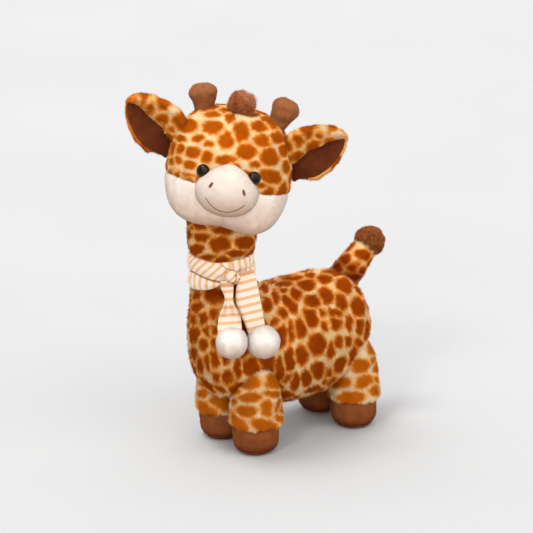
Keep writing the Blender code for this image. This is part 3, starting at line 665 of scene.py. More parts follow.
LEG_OVALS = {
    "front_left": (
        (249, 384, 25, 13), (274, 383, 15, 16), (249, 399, 26, 9), (273, 395, 15, 8), (244, 413, 22, 11),
        (267, 409, 12, 16), (282, 408, 7, 12), (265, 426, 25, 12), (279, 420, 11, 9), (285, 390, 6, 17),
    ),
    "front_right": (
        (204, 395, 12, 10), (222, 404, 26, 15, 18), (198, 406, 6, 12), (211, 414, 22, 6),
    ),
    "back_left": (
        (360, 367, 18, 15), (364, 383, 19, 12, -15), (340, 384, 20, 10), (351, 399, 27, 12),
        (374, 391, 9, 11), (332, 398, 9, 11),
    ),
    "back_right": ((312, 391, 18, 8), (322, 402, 14, 8)),
}


def upright(point, normal):
    """Up the torso's sides, and along its back and belly."""
    return (0, 0.2, 1) if abs(normal[2]) < 0.7 else (0, 1, 0)


def level(point, normal):
    """Level along an upright surface."""
    return np.cross(normal, (0, 0, 1))


def leg_places():
    """Each leg's name, foot and rings."""
    for row, along, shares in (("front", -0.0655, FRONT_LEG), ("back", 0.0655, BACK_LEG)):
        for hand, side in (("left", 0.029), ("right", -0.029)):
            yield row + "_" + hand, STANCE + Vector((side, along, 0)), shares


def press_at_legs(skin):
    """Draws the torso in along the seams where the legs leave it, and gives the painted shade that darkens
    it there.
    """
    painted_shade = np.zeros(len(skin.V))
    for _, place, shares in leg_places():
        tree = leg_skin(place, shares, 3).tree()
        hip = np.array(place + Vector((0, 0, 0.075)))
        close = np.where(np.linalg.norm(skin.V - hip, axis=1) < 0.045)[0]
        away = np.full(len(skin.V), 1.0)
        away[close] = [tree.find_nearest(Vector(point))[3] for point in skin.V[close]]
        # Painted shade along the seam where the leg leaves the torso
        painted_shade = np.maximum(painted_shade, 0.55 * bell(away, 0.0032))
        skin.push(-0.0034 * bell(away, 0.0040))
    return painted_shade


def build_torso():
    skin = torso_skin()
    skin.push(waves(skin.V, 0.045, 3) * 0.0007 - 0.0018)
    painted_shade = press_at_legs(skin)
    # Painted shade round the tail's root and under the scarf's lower edge
    from_root = near_path(skin.V, [TAIL_ROOT, TAIL_TIP])
    painted_shade = np.maximum(painted_shade, 0.6 * bell(from_root - TAIL_RADIUS, 0.0035))
    from_neck = np.hypot(skin.V[:, 0] - NECK.x, skin.V[:, 1] - NECK.y)
    painted_shade_under_scarf = bell(skin.V[:, 2] - 0.184, 0.005) * (from_neck < 0.042)
    painted_shade = np.maximum(painted_shade, 0.45 * painted_shade_under_scarf)
    tree = skin.tree()
    prints = Print()
    prints.seen(tree, TORSO_OVALS)
    prints.fill(skin, 0.0108, 0.0072, upright, 11)
    prints.fill(skin, 0.0066, 0.0046, upright, 12, near=1.5)
    torso = skin_object("torso_plush", skin, plush, {"mark": marks(prints.inside(skin.V)), "painted_shade": painted_shade})
    dress(torso, "torso", ("torso_skin", "torso_filling"))
    keep = (skin.V[:, 2] < 0.2).astype(float)
    for number in range(2):
        half = keep * ((skin.V[:, 0] > STANCE.x) == bool(number))
        fur = pile("torso_pile_%d" % number, skin, 62000, 0.0052, 1.05,
                   np.array([[0, 0.35, -1.0]]), plush_pile, 20 + number * 40, prints.inside, half,
                   painted_shade=painted_shade)
        dress(fur, "torso")


def build_legs():
    for name, place, shares in leg_places():
        skin = leg_skin(place, shares)
        skin.push(waves(skin.V, 0.030, 7 + len(name)) * 0.0006 - 0.0015)
        prints = Print()
        prints.seen(skin.tree(), LEG_OVALS[name])
        seed = sum(map(ord, name))
        prints.fill(skin, 0.0115, 0.0062, level, seed)
        prints.fill(skin, 0.0062, 0.0044, level, seed + 1, near=1.5)
        leg = skin_object("leg_%s_plush" % name, skin, leg_painted_light_plush, {"mark": marks(prints.inside(skin.V))})
        dress(leg, "torso", ("leg_" + name,))
        keep = (skin.V[:, 2] < 0.1035).astype(float)
        keep[skin.N[:, 2] < -0.85] = 0
        fur = pile("leg_%s_pile" % name, skin, 30000, 0.0050, 1.05, DOWN,
                   leg_plush_pile, seed, prints.inside, keep)
        dress(fur, "torso")
        build_hoof(name, place)


SOLE_SEAM = 0.0212


def build_hoof(name, place):
    profile = [(0.0010, 0.0310), (0.0215, 0.0310), (0.0238, 0.0290), (0.0243, 0.0225), (0.0242, 0.016),
               (0.0232, 0.0100), (0.0213, 0.0056), (0.0188, 0.0024), (0.0158, 0.0006), (0.0130, 0.0),
               (0.0010, 0.0)]
    skin = rounded([circle(height, radius, 12, place) for radius, height in profile], 3)
    lift = np.clip(skin.V[:, 2] / 0.004, 0, 1)
    skin.push(waves(skin.V, 0.016, 31) * 0.0004 * lift)
    seam = [(place.x + SOLE_SEAM * math.cos(t), place.y + SOLE_SEAM * math.sin(t), 0.0055)
            for t in np.linspace(0, 2 * math.pi, 33)]
    groove(skin, seam, 0.0010, 0.0009)
    skin.V[:, 2] = np.maximum(skin.V[:, 2], 0)
    # Painted shade, darker towards the ground and in the sole seam's groove
    low = 0.45 * (1 - smoothstep(0.003, 0.016, skin.V[:, 2])) + 0.5 * bell(near_path(skin.V, seam), 0.0009)
    low = np.clip(low, 0, 1)
    hoof = skin_object("hoof_%s_minky" % name, skin.update(), brown, {"painted_shade": low})
    dress(hoof, "torso", ("hoof_" + name,))
    keep = ((skin.V[:, 2] > 0.004) & (skin.V[:, 2] < 0.030)).astype(float)
    fuzz = pile("hoof_%s_nap" % name, skin, 9000, 0.0013, 0.75, DOWN, brown_pile,
                60 + len(name), keep=keep, width=NAP_WIDTH, painted_shade=low)
    dress(fuzz, "torso")


def build_neck():
    profile = [(0.2003, 0.0290), (0.2140, 0.0288), (0.2200, 0.0312), (0.2280, 0.0342), (0.2400, 0.0340),
               (0.2540, 0.0334), (0.2700, 0.0334), (0.2850, 0.0290), (0.2980, 0.0160)]
    skin = rounded([circle(height, radius, 10, NECK) for height, radius in profile], 4)
    skin.push(waves(skin.V, 0.022, 8) * 0.0006)
    prints = Print()
    prints.seen(skin.tree(), (
        (202, 238, 16, 11), (220, 246, 20, 15), (246, 244, 19, 12), (225, 231, 21, 9), (196, 251, 12, 10),
        (210, 258, 17, 6), (235, 254, 22, 6), (192, 229, 6, 7), (251, 232, 10, 5),
    ))
    prints.fill(skin, 0.0105, 0.0072, level, 77)
    neck = skin_object("neck_plush", skin, plush, {"mark": marks(prints.inside(skin.V))})
    dress(neck, "neck", ("neck",))
    keep = ((skin.V[:, 2] < 0.272) & (skin.V[:, 2] > 0.216)).astype(float)
    fur = pile("neck_pile", skin, 26000, 0.0046, 1.0, DOWN, plush_pile, 90,
               prints.inside, keep)
    dress(fur, "neck")


# Head


# Patches of the head on the photograph: place, width, height and lean, as for the other pieces
HEAD_OVALS = (
    (212, 114, 17, 6), (188, 126, 16, 12, -20), (212, 127, 19, 12), (230, 117, 10, 9),
    (242, 131, 15, 18, -15), (260, 126, 16, 10, 10), (253, 115, 17, 5), (278, 137, 11, 13, -25),
    (263, 141, 15, 11, 20), (226, 139, 15, 16), (198, 138, 11, 7), (179, 139, 11, 7),
    (208, 143, 10, 6), (180, 149, 9, 10, 20), (192, 152, 14, 11), (206, 157, 11, 12),
    (247, 151, 19, 15), (271, 157, 17, 17, 15), (227, 160, 21, 10), (178, 160, 7, 8),
    (189, 165, 11, 9), (170, 152, 6, 10), (172, 162, 6, 7), (167, 168, 5, 8), (256, 165, 9, 7),
    (272, 177, 21, 13, 20), (286, 167, 7, 13), (283, 151, 9, 12), (172, 173, 10, 6),
    (185, 176, 13, 5), (260, 186, 12, 5),
)

# How far beside the head's middle plane the two cheeks meet
CHEEK_SEAM = 0.0035


def head_skin(levels=5):
    shares = ((0.93, 0.36, 0.36), (0.76, 0.75, 0.76), (0.24, 0.97, 1.00), (-0.42, 1.005, 1.04),
              (-0.93, 0.81, 0.82), (-1.05, 0.42, 0.40))
    half = Vector((0.132, 0.118, 0.130)) / 2
    rings = []
    for height, width, depth in shares:
        middle = (0.0014 if height < 0 else 0, 0, height * half.z)
        rings.append(oval(middle, (width * half.x, 0, 0), (0, depth * half.y, 0), 8, 2.1))
    for ring in rings[-2:]:
        for corner in ring:
            corner.z -= 0.03 * corner.x
        ring[6] += Vector((CHEEK_SEAM, 0, 0.010))
    return rounded(rings, levels)


def muzzle_surface():
    """The muzzle's egg in the head's frame, narrower at its top."""
    half = np.array((0.0325, 0.031, 0.028))
    turns = [math.pi * n / 40 for n in range(41)]
    profile = [(max(math.sin(t), 1e-4), math.cos(t)) for t in turns]
    made = lathe(profile, 96)
    rise = made.V[:, 2]
    made.V = made.V * half
    made.V[:, 0] *= 1 - 0.36 * np.maximum(rise, 0) ** 2 - 0.08 * rise
    made.V += np.array((0.002, -0.051, -0.017))
    return made.update()


def cheek_depth(local):
    """How far a point of the head is inside the cheeks' region, in the head's frame."""
    return np.minimum(-0.016 - local[:, 2], 0.014 - local[:, 1])


def build_head():
    base = head_skin()
    local = base.V.copy()
    inside = cheek_depth(local)
    crown = head_skin()
    crown.push(-0.0012 - 0.0028 * smoothstep(-0.0035, 0.003, inside))
    crown = crown.part(inside < 0.006)
    crown.move(HEAD)
    tree = crown.tree()
    fold = [on_photo(tree, u, v)[0] for u, v in ((233, 112), (234.5, 117), (236, 122))]
    groove(crown, fold, 0.0010, 0.0013)
    prints = Print()
    prints.seen(tree, HEAD_OVALS)
    back = np.array(HEAD.to_3x3() @ Vector((0, 1, 0.4)))
    prints.fill(crown, 0.0092, 0.0078, back, 17)
    head = skin_object("head_plush", crown, painted_light_plush, {"mark": marks(prints.inside(crown.V))})
    dress(head, "head", ("head_crown", "head_filling"))
    home = moved(crown.V, HEAD.inverted())
    keep = (cheek_depth(home) < 0.0006).astype(float)
    nose = np.array(HEAD @ Vector((0, -0.060, 0.012)))

    def comb(place, normal):
        return place - nose

    for number in range(2):
        half = keep * ((home[:, 0] > 0) == bool(number))
        fur = pile_towards("head_pile_%d" % number, crown, 52000, 0.0036, 0.95, comb, 120 + number * 40,
                           prints.inside, half)
        dress(fur, "head")
    edge = bell(cheek_depth(home) + 0.0004, 0.0010) * (cheek_depth(home) < 0.0008)
    fringe = pile_towards("head_fringe", crown, 9000, 0.0042, 1.05, comb, 190, prints.inside, edge)
    dress(fringe, "head")
    build_cheeks(base)


def pile_towards(name, skin, count, length, lean, comb, seed, mark, keep, **more):
    """Plush pile that is combed along a field instead of in one direction."""
    place, normal, _ = roots(skin, int(count * PILE_SHARE), seed + 1, keep)
    directions = comb(place, normal)
    return pile(name, skin, count, length, lean, directions, painted_light_plush_pile, seed, mark, keep, **more)


def build_cheeks(base):
    local = base.V.copy()
    inside = cheek_depth(local)
    for hand, side in (("left", 1), ("right", -1)):
        cheek = Skin(base.V.copy(), base.F)
        across = side * (local[:, 0] - CHEEK_SEAM)
        border = np.minimum(inside, across)
        puff = 0.0006 * (1 - np.exp(-np.maximum(border, 0) / 0.008))
        cheek.push(puff - 0.0008 - 0.0024 * bell(border + 0.003, 0.0035))
        cheek = cheek.part((inside > -0.003) & (across > -0.002))
        cheek.move(HEAD)
        obj = skin_object("cheek_%s_minky" % hand, cheek, cream)
        dress(obj, "head", ("cheek_" + hand,))
        home = moved(cheek.V, HEAD.inverted())
        keep = ((cheek_depth(home) > 0.0) & (side * (home[:, 0] - CHEEK_SEAM) > 0)).astype(float)
        fuzz = pile("cheek_%s_nap" % hand, cheek, 16000, 0.0011, 0.8, DOWN, cream_pile,
                    210 + side, keep=keep, width=NAP_WIDTH)
        dress(fuzz, "head")


def build_muzzle():
    skin = muzzle_surface()
    crease = [(0.002, -0.0815, 0.006), (0.002, -0.0835, -0.010), (0.002, -0.0825, -0.022)]
    groove(skin, crease, 0.0011, 0.00025)
    skin = skin.part(skin.V[:, 1] < -0.030)
    local = skin.V
    skin.move(HEAD)
    dress(skin_object("muzzle_minky", skin, muzzle_cream_shaded_copy), "head", ("muzzle",))
    fuzz = pile("muzzle_nap", skin, 12000, 0.0010, 0.8, DOWN, muzzle_pile_shaded_copy, 230,
                keep=(local[:, 1] < -0.040).astype(float), width=NAP_WIDTH)
    dress(fuzz, "head")
    return skin.tree()


def thread_material():
    paint = Paint("embroidery_thread")
    paint.bump(paint.noise(2600, 1), 0.4, 0.0002)
    return paint.finish(paint.ramp(paint.noise(700), ((0.35, "5A2A1C"), (0.65, "7B4430"))), 0.5, 0.1)


def tube(name, points, radius, material, sides):
    """A closed tube along points, narrower at its ends."""
    points = np.array(points, float)
    way = unit(np.gradient(points, axis=0))
    up = np.array((0.0, 0.0, 1.0))
    rings = []
    count = len(points)
    for n in range(count):
        first = unit(np.cross(way[n], up))
        second = np.cross(way[n], first)
        size = radius * (1 if 0 < n < count - 1 else 0.35)
        rings.append([tuple(points[n] + (first * math.cos(t) + second * math.sin(t)) * size)
                      for t in np.linspace(0, 2 * math.pi, sides, endpoint=False)])
    corners = np.array([c for ring in rings for c in ring])
    faces = []
    for a in range(0, (count - 1) * sides, sides):
        for s in range(sides):
            t = (s + 1) % sides
            faces.append((a + s, a + t, a + sides + t, a + sides + s))
    caps = np.array([list(range(sides))[::-1], [(count - 1) * sides + s for s in range(sides)]])
    return mesh_object(name, corners, [np.array(faces), caps], material)


# The smile's half-width and the radius of the satin stitches' thread
SMILE_HALF = 0.0195
THREAD = 0.00034


def build_stitches(tree):
    """The nostrils and the smile, laid on the muzzle."""
    thread = thread_material()

    def on_muzzle(x, z, lift):
        start = HEAD @ Vector((0.002 + x, -0.2, -0.017 + z))
        way = HEAD.to_3x3() @ Vector((0, 1, 0))
        place, normal, _, _ = tree.ray_cast(start, way)
        return place + normal * lift

    for hand, side in (("left", 1), ("right", -1)):
        middle_x, middle_z = side * 0.0170 - 0.0002, 0.0047 - side * 0.0008
        lean = math.radians(22)
        threads = []
        for row in range(-2, 3):
            points = []
            for step in np.linspace(-1, 1, 9):
                out = math.sqrt(max(1 - step ** 2, 0))
                along = step * 0.0034
                x = middle_x + side * -along * math.sin(lean) + row * 0.00052 * out
                z = middle_z + along * math.cos(lean)
                points.append(on_muzzle(x, z, 0.0002 + 0.0007 * out * (1 - (row / 3) ** 2)))
            threads.append(tube("nostril_%s_%d" % (hand, row + 2), points, THREAD, thread, 6))
        joined = join(threads, "nostril_%s_stitches" % hand)
        dress(joined, "head", ("nostril_" + hand,))
    points = []
    for share in np.linspace(-1, 1, 45):
        x = share * SMILE_HALF
        z = -0.0095 - 0.0102 * (1 - abs(share) ** 2.1)
        points.append(on_muzzle(x, z, 0.0003))
    runs = [tube("smile_run", points, 0.00038, thread, 8)]
    for side in (-1, 1):
        points = []
        for shift, rise in ((-0.0012, 0.0006), (0.0, 0.0), (0.0010, -0.0012)):
            points.append(on_muzzle(side * SMILE_HALF + shift, -0.0093 + rise, 0.0003))
        runs.append(tube("smile_end_%d" % side, points, THREAD, thread, 6))
    smile = join(runs, "smile_thread")
    dress(smile, "head", ("smile_stitch",))


def join(objects, name):
    """One mesh of several."""
    form = bmesh.new()
    for obj in objects:
        form.from_mesh(obj.data)
    mesh = bpy.data.meshes.new(name)
    form.to_mesh(mesh)
    form.free()
    mesh.shade_smooth()
    mesh.materials.append(objects[0].data.materials[0])
    for obj in objects:
        bpy.data.objects.remove(obj)
    made = bpy.data.objects.new(name, mesh)
    bpy.context.scene.collection.objects.link(made)
    return made


def eye_material():
    """Black plastic with a brown ring, by the distance from the middle."""
    paint = Paint("eye_bead")
    colour = paint.ramp(paint.attribute("rim"), ((0.0, "000000"), (0.50, "010101"), (0.60, "341A0D"),
                                                 (0.84, "221007"), (1.0, "020101")))
    return paint.finish(colour, 0.03, specular=0.17)


def build_eyes():
    """Domed beads on stems. Each eye has its place on the face, its direction and its lift."""
    material = eye_material()
    seats = {
        "left": (Vector((0.05903, -0.07744, 0.31645)), Vector((0.96841, -0.19823, 0.15126)), 0.0008),
        "right": (Vector((0.02588, -0.11769, 0.32593)), Vector((0.43345, -0.8553, 0.28387)), -0.0012),
    }
    radius, bulge = 0.0070, 0.0056
    profile = []
    for step in np.linspace(0, 1, 22):
        angle = step * math.pi / 2
        profile.append((max(radius * math.sin(angle), 1e-5), bulge * math.cos(angle) + 0.0004))
    profile += [(radius, -0.0012), (0.0022, -0.0014), (0.0020, -0.0110), (1e-5, -0.0110)]
    for hand, (seat, normal, lift) in seats.items():
        turn = normal.to_track_quat("Z", "Y").to_matrix().to_4x4()
        place = Matrix.Translation(seat + UP * lift) @ turn
        skin = lathe(profile, 48, place)
        home = moved(skin.V, place.inverted())
        rim = np.hypot(home[:, 0], home[:, 1]) / radius
        eye = skin_object("eye_%s_bead" % hand, skin, material, {"rim": rim})
        dress(eye, "head", ("eye_" + hand,))


def build_horns():
    """Knobs that lean outwards. Each has its seat on the head and its length."""
    seats = {
        "left": (Vector((0.02527, -0.02132, 0.35716)), 1, 0.0266),
        "right": (Vector((-0.02292, -0.07903, 0.37405)), -1, 0.0236),
    }
    profile = ((-0.4, 0.0), (0.05, 0.0), (0.30, 0.45), (0.62, 1.02), (0.88, 0.70), (1.02, -0.75))
    for hand, (seat, side, tall) in seats.items():
        lean = Euler((0, math.radians(side * 18), 0)).to_matrix()
        place = Matrix.Translation(seat) @ (HEAD.to_3x3() @ lean).to_4x4()
        rings = [circle(share * tall, 0.0092 + 0.0055 * swelling, 10) for share, swelling in profile]
        skin = rounded(rings, 4)
        skin.push(waves(skin.V, 0.014, 41 + side) * 0.0004)
        rooted = (skin.V[:, 2] > -0.002).astype(float)
        skin.move(place)
        horn = skin_object("horn_%s_minky" % hand, skin, horn_brown)
        dress(horn, "head", ("horn_" + hand,))
        tipward = np.array([place.to_3x3() @ Vector((0, 0, 1))])
        fuzz = pile("horn_%s_nap" % hand, skin, 9000, 0.0014, 0.7, tipward, horn_pile, 300 + side,
                    keep=rooted, width=NAP_WIDTH)
        dress(fuzz, "head")


def build_forelock():
    seat = Vector((0.01283, -0.05954, 0.37393))
    place = Matrix.Translation(seat) @ HEAD_TURN.to_matrix().to_4x4()
    rings = []
    for share, wide in ((-0.30, 0.80), (0.10, 0.95), (0.55, 1.05), (0.92, 0.72), (1.04, 0.30)):
        rings.append(oval((0, 0, share * 0.0172), (0.0112 * wide, 0, 0), (0, 0.0098 * wide, 0), 10))
    skin = rounded(rings, 4)
    local = skin.V
    skin.move(place)
    dress(skin_object("forelock_fur", skin, dark), "head", ("forelock",))
    up = np.array([place.to_3x3() @ Vector((0.6, 0.2, 0.8))])
    rooted = (local[:, 2] > -0.001).astype(float)
    fuzz = pile("forelock_pile", skin, 15000, 0.0052, 0.72, up, fur, 330, keep=rooted, width=0.00030,
                sway=1.1)
    dress(fuzz, "head")
    tips = rooted * smoothstep(0.004, 0.010, local[:, 0] * 0.7 + (local[:, 2] - 0.006))
    wisps = pile("forelock_wisps", skin, 300, 0.0070, 0.60, up, pale_fur, 340, keep=tips, width=0.00030,
                 sway=1.0)
    dress(wisps, "head")


# Ears


EAR_OVALS = {
    "right": ((136, 100, 9, 9), (150, 107, 12, 12), (162, 118, 12, 12), (172, 128, 8, 8)),
    "left": ((300, 140, 14, 12), (318, 135, 12, 9), (333, 128, 8, 6)),
}

# Shares of the ear's half-width and of its hollow's depth, by the share of its length
EAR_WIDTHS = ((-0.2, 0.78), (0.0, 0.80), (0.25, 1.04), (0.5, 0.98), (0.75, 0.72), (0.94, 0.38), (1.02, 0.0))
EAR_CURLS = ((-0.2, 0.9), (0.0, 1.0), (0.25, 1.05), (0.5, 0.95), (0.75, 0.65), (0.94, 0.25), (1.02, 0.0))


EAR_LENGTH, EAR_HALF_WIDTH, EAR_HOLLOW = 0.060, 0.0242, 0.0075


def along_ear(table, share):
    """A smoothed reading of a table along the ear."""
    near = np.linspace(-0.06, 0.06, 7)
    places, values = zip(*table)
    return float(np.interp(np.clip(share + near, -0.2, 1.02), places, values).mean())


def ear_curve(side, along, t):
    """A point of the ear's cloth: t runs up its back from the low rim, rolls over the top
    and comes down in front of the lining to the edge of the flap."""
    width = max(EAR_HALF_WIDTH * along_ear(EAR_WIDTHS, along), 0.0004)
    curl = EAR_HOLLOW * along_ear(EAR_CURLS, along)
    roll = min(0.0024, width * 0.35)
    share = 0.40 + 0.10 * (1 - min(max(along, 0) / 0.4, 1)) - 0.10 * min(max(along - 0.6, 0) / 0.4, 1)
    rise, over = 0.60, 0.70
    if t < rise:
        across = -1 + 2 * t / rise
        forward = 0.0
    elif t < over:
        across = 1.0
        forward = (t - rise) / (over - rise)
    else:
        across = 1 - 2 * share * (t - over) / (1 - over)
        forward = 1.0
    z = across * width
    y = -curl * across ** 2 * (1 + 0.55 * across)
    turn = math.pi * forward
    z += roll * math.sin(turn)
    y -= roll * (1 - math.cos(turn))
    if t > over:
        down = (t - over) / (1 - over)
        y -= 0.0022 * math.sin(math.pi * min(down * 1.1, 1)) + 0.0010 * down
    return Vector((side * along * EAR_LENGTH, y, z))


def build_ears():
    seams = {
        "left": (Vector((0.03702, -0.01258, 0.31698)), 1, 36),
        "right": (Vector((-0.04089, -0.10708, 0.33924)), -1, 32),
    }
    rows, columns = 64, 84
    for hand, (seat, side, raised) in seams.items():
        lean = Euler((0, math.radians(-side * raised), 0)).to_matrix()
        place = Matrix.Translation(seat) @ (HEAD.to_3x3() @ lean).to_4x4()
        stations = np.linspace(-0.12, 1.0, rows + 1)
        grid = np.array([ear_curve(side, a, c / columns) for a in stations for c in range(columns + 1)])
        faces, index = grid_faces(rows, columns)
        sheet = Skin(grid, faces)
        if sheet.N[index[rows // 2, columns // 4]][1] < 0:
            sheet = Skin(grid, faces[:, ::-1])
        column = np.tile(np.arange(columns + 1), rows + 1)
        row = np.repeat(np.arange(rows + 1), columns + 1)
        rim = np.minimum(np.minimum(column, columns - column) / 6.0, (rows - row) / 5.0)
        full = np.sqrt(np.clip(1 - (1 - np.clip(rim, 0, 1)) ** 2, 0, 1))
        outer = Skin(sheet.V + sheet.N * (0.0017 * full)[:, None], sheet.F)
        inner = Skin(sheet.V - sheet.N * (0.0012 * full)[:, None], sheet.F[:, ::-1])
        for part in (outer, inner):
            part.move(place)
        prints = Print()
        prints.seen(outer.tree(), EAR_OVALS[hand])
        out_way = np.array(place.to_3x3() @ Vector((side, 0, -0.25)))
        prints.fill(outer, 0.0085, 0.0075, out_way, 55 + side)
        low_rim = (column < 8) & (hand == "right")
        depth = np.where(low_rim, 0.0022, prints.inside(outer.V))
        ear = skin_object("ear_%s_plush" % hand, outer, painted_light_plush, {"mark": marks(depth)})
        dress(ear, "ear_" + hand, ("ear_" + hand,))
        fur = pile("ear_%s_pile" % hand, outer, 26000, 0.0036, 0.9, out_way[None], painted_light_plush_pile,
                   400 + side * 9, prints.inside)
        dress(fur, "ear_" + hand)
        edge = ((rim < 0.45) & (row > rows * 0.24)).astype(float)
        rim_tone = 0.0010 if hand == "right" else -0.0008
        heart = np.array(place @ Vector((side * 0.020, -0.002, 0.002)))

        def outwards(place, normal):
            return place - heart

        def rim_mark(place):
            return np.maximum(prints.inside(place), rim_tone)

        fringe = pile_towards("ear_%s_fringe" % hand, outer, 9000, 0.0046, 1.25, outwards, 440 + side * 9,
                              rim_mark, edge, own_normals=True)
        dress(fringe, "ear_" + hand)
        across = column / columns
        # Painted shade on the lining, darker towards the fold under the flap and towards the root
        painted_crease_shade = np.clip(0.75 * bell(across - 0.58, 0.16) + 0.5 * bell(row / rows, 0.25), 0, 1)
        lining = skin_object("ear_lining_%s_minky" % hand, inner, dark, {"painted_shade": painted_crease_shade})
        dress(lining, "ear_" + hand, ("ear_lining_" + hand,))
        nap = pile("ear_lining_%s_nap" % hand, inner, 14000, 0.0018, 0.8, out_way[None], dark_pile,
                   430 + side * 9, keep=(rim > 0.3).astype(float), width=0.00024, painted_shade=painted_crease_shade)
        dress(nap, "ear_" + hand)


# Tail


def build_tail():
    root, tip = TAIL_ROOT, TAIL_TIP
    length = (tip - root).length
    turn = (tip - root).to_track_quat("Z", "X").to_matrix().to_4x4()
    place = Matrix.Translation(root) @ turn
    rings = []
    for share in (-0.45, 0.0, 0.45, 0.80, 0.95):
        rings.append(circle(share * length, TAIL_RADIUS - 0.0052 * max(share, 0), 10))
    skin = rounded(rings, 4)
    # Painted shade near the tail's root, where it meets the body
    painted_shade = 0.75 * bell(np.maximum(skin.V[:, 2] - 0.004, 0), 0.008)
    skin.move(place)
    prints = Print()
    prints.seen(skin.tree(), ((364, 254, 15, 10), (346, 258, 10, 12, -35), (354, 266, 13, 10),
                              (363, 269, 10, 7), (339, 267, 7, 10), (353, 276, 15, 7)))
    way = np.array(tip - root)

    def around(point, normal):
        return np.cross(normal, way)

    prints.fill(skin, 0.0078, 0.0060, around, 88)
    tail = skin_object("tail_plush", skin, plush, {"mark": marks(prints.inside(skin.V)), "painted_shade": painted_shade})
    dress(tail, "tail", ("tail",))
    fur = pile("tail_pile", skin, 15000, 0.0042, 0.8, way[None], plush_pile, 500, prints.inside,
               painted_shade=painted_shade)
    dress(fur, "tail")
    knob = ball(tip, (0.0146,) * 3, 48)
    knob.push(waves(knob.V, 0.012, 9) * 0.0004)
    dress(skin_object("tail_tuft_minky", knob, brown), "tail", ("tail_tuft",))
    fuzz = pile("tail_tuft_pile", knob, 15000, 0.0032, 0.75, way[None], tuft_fur, 520, width=0.00026,
                sway=1.0)
    dress(fuzz, "tail")


# Scarf


# Metres from stripe to stripe along the strip
STRIPE_PITCH = 0.0082


def knit_material():
    """Fine jersey in cream with tan stripes across the strip, along which u runs in metres."""
    paint = Paint("striped_jersey")
    where = paint.node("UVMap", uv_map="cloth").outputs[0]
    turn = paint.math("MULTIPLY", paint.split(where)[0], 2 * math.pi / STRIPE_PITCH)
    colour = paint.ramp(paint.math("SINE", turn), ((0.0, "DFC7B5"), (0.64, "CC9F70")))
    colour = paint.times(colour, paint.ramp(paint.noise(160, 3), ((0.3, 0.93), (0.7, 1.0))))
    loops = paint.node("TexWave", wave_type="BANDS", bands_direction="Y")
    loops.inputs["Scale"].default_value = 160
    loops.inputs["Distortion"].default_value = 1.2
    paint.links.new(where, loops.inputs["Vector"])
    paint.bump(loops.outputs["Fac"], 0.25, 0.0003)
    return paint.finish(paint.with_painted_shade(colour), 0.85, 0.2)


def sheet_grid(function, columns, rows):
    """A surface, its cloth coordinates and its painted crease shade from function(s, t), both from 0 to 1.
    """
    points, uv, painted_shade = [], [], []
    for a in range(rows + 1):
        for c in range(columns + 1):
            place, along, across, painted_crease_shade = function(c / columns, a / rows)
            points.append(place)
            uv.append((along, across))
            painted_shade.append(painted_crease_shade)
    return Skin(points, grid_faces(rows, columns)[0]), np.array(uv), {"painted_shade": np.clip(painted_shade, 0, 1)}


def toward(angle):
    """The level direction at an angle in degrees, from the front to the toy's own left."""
    return Vector((math.sin(math.radians(angle)), -math.cos(math.radians(angle)), 0))


def at_angle(angle, middle, wide):
    """1 at an angle round the neck, falling off within about so many degrees."""
    return math.exp(-((((angle - middle + 180) % 360) - 180) / wide) ** 2)


# Where the knot sits round the neck, and the radii of the neck's cloth and of the stripes' count
KNOT_ANGLE = 70.0
BAND_INSIDE = 0.0302
BAND_MIDDLE = 0.0345


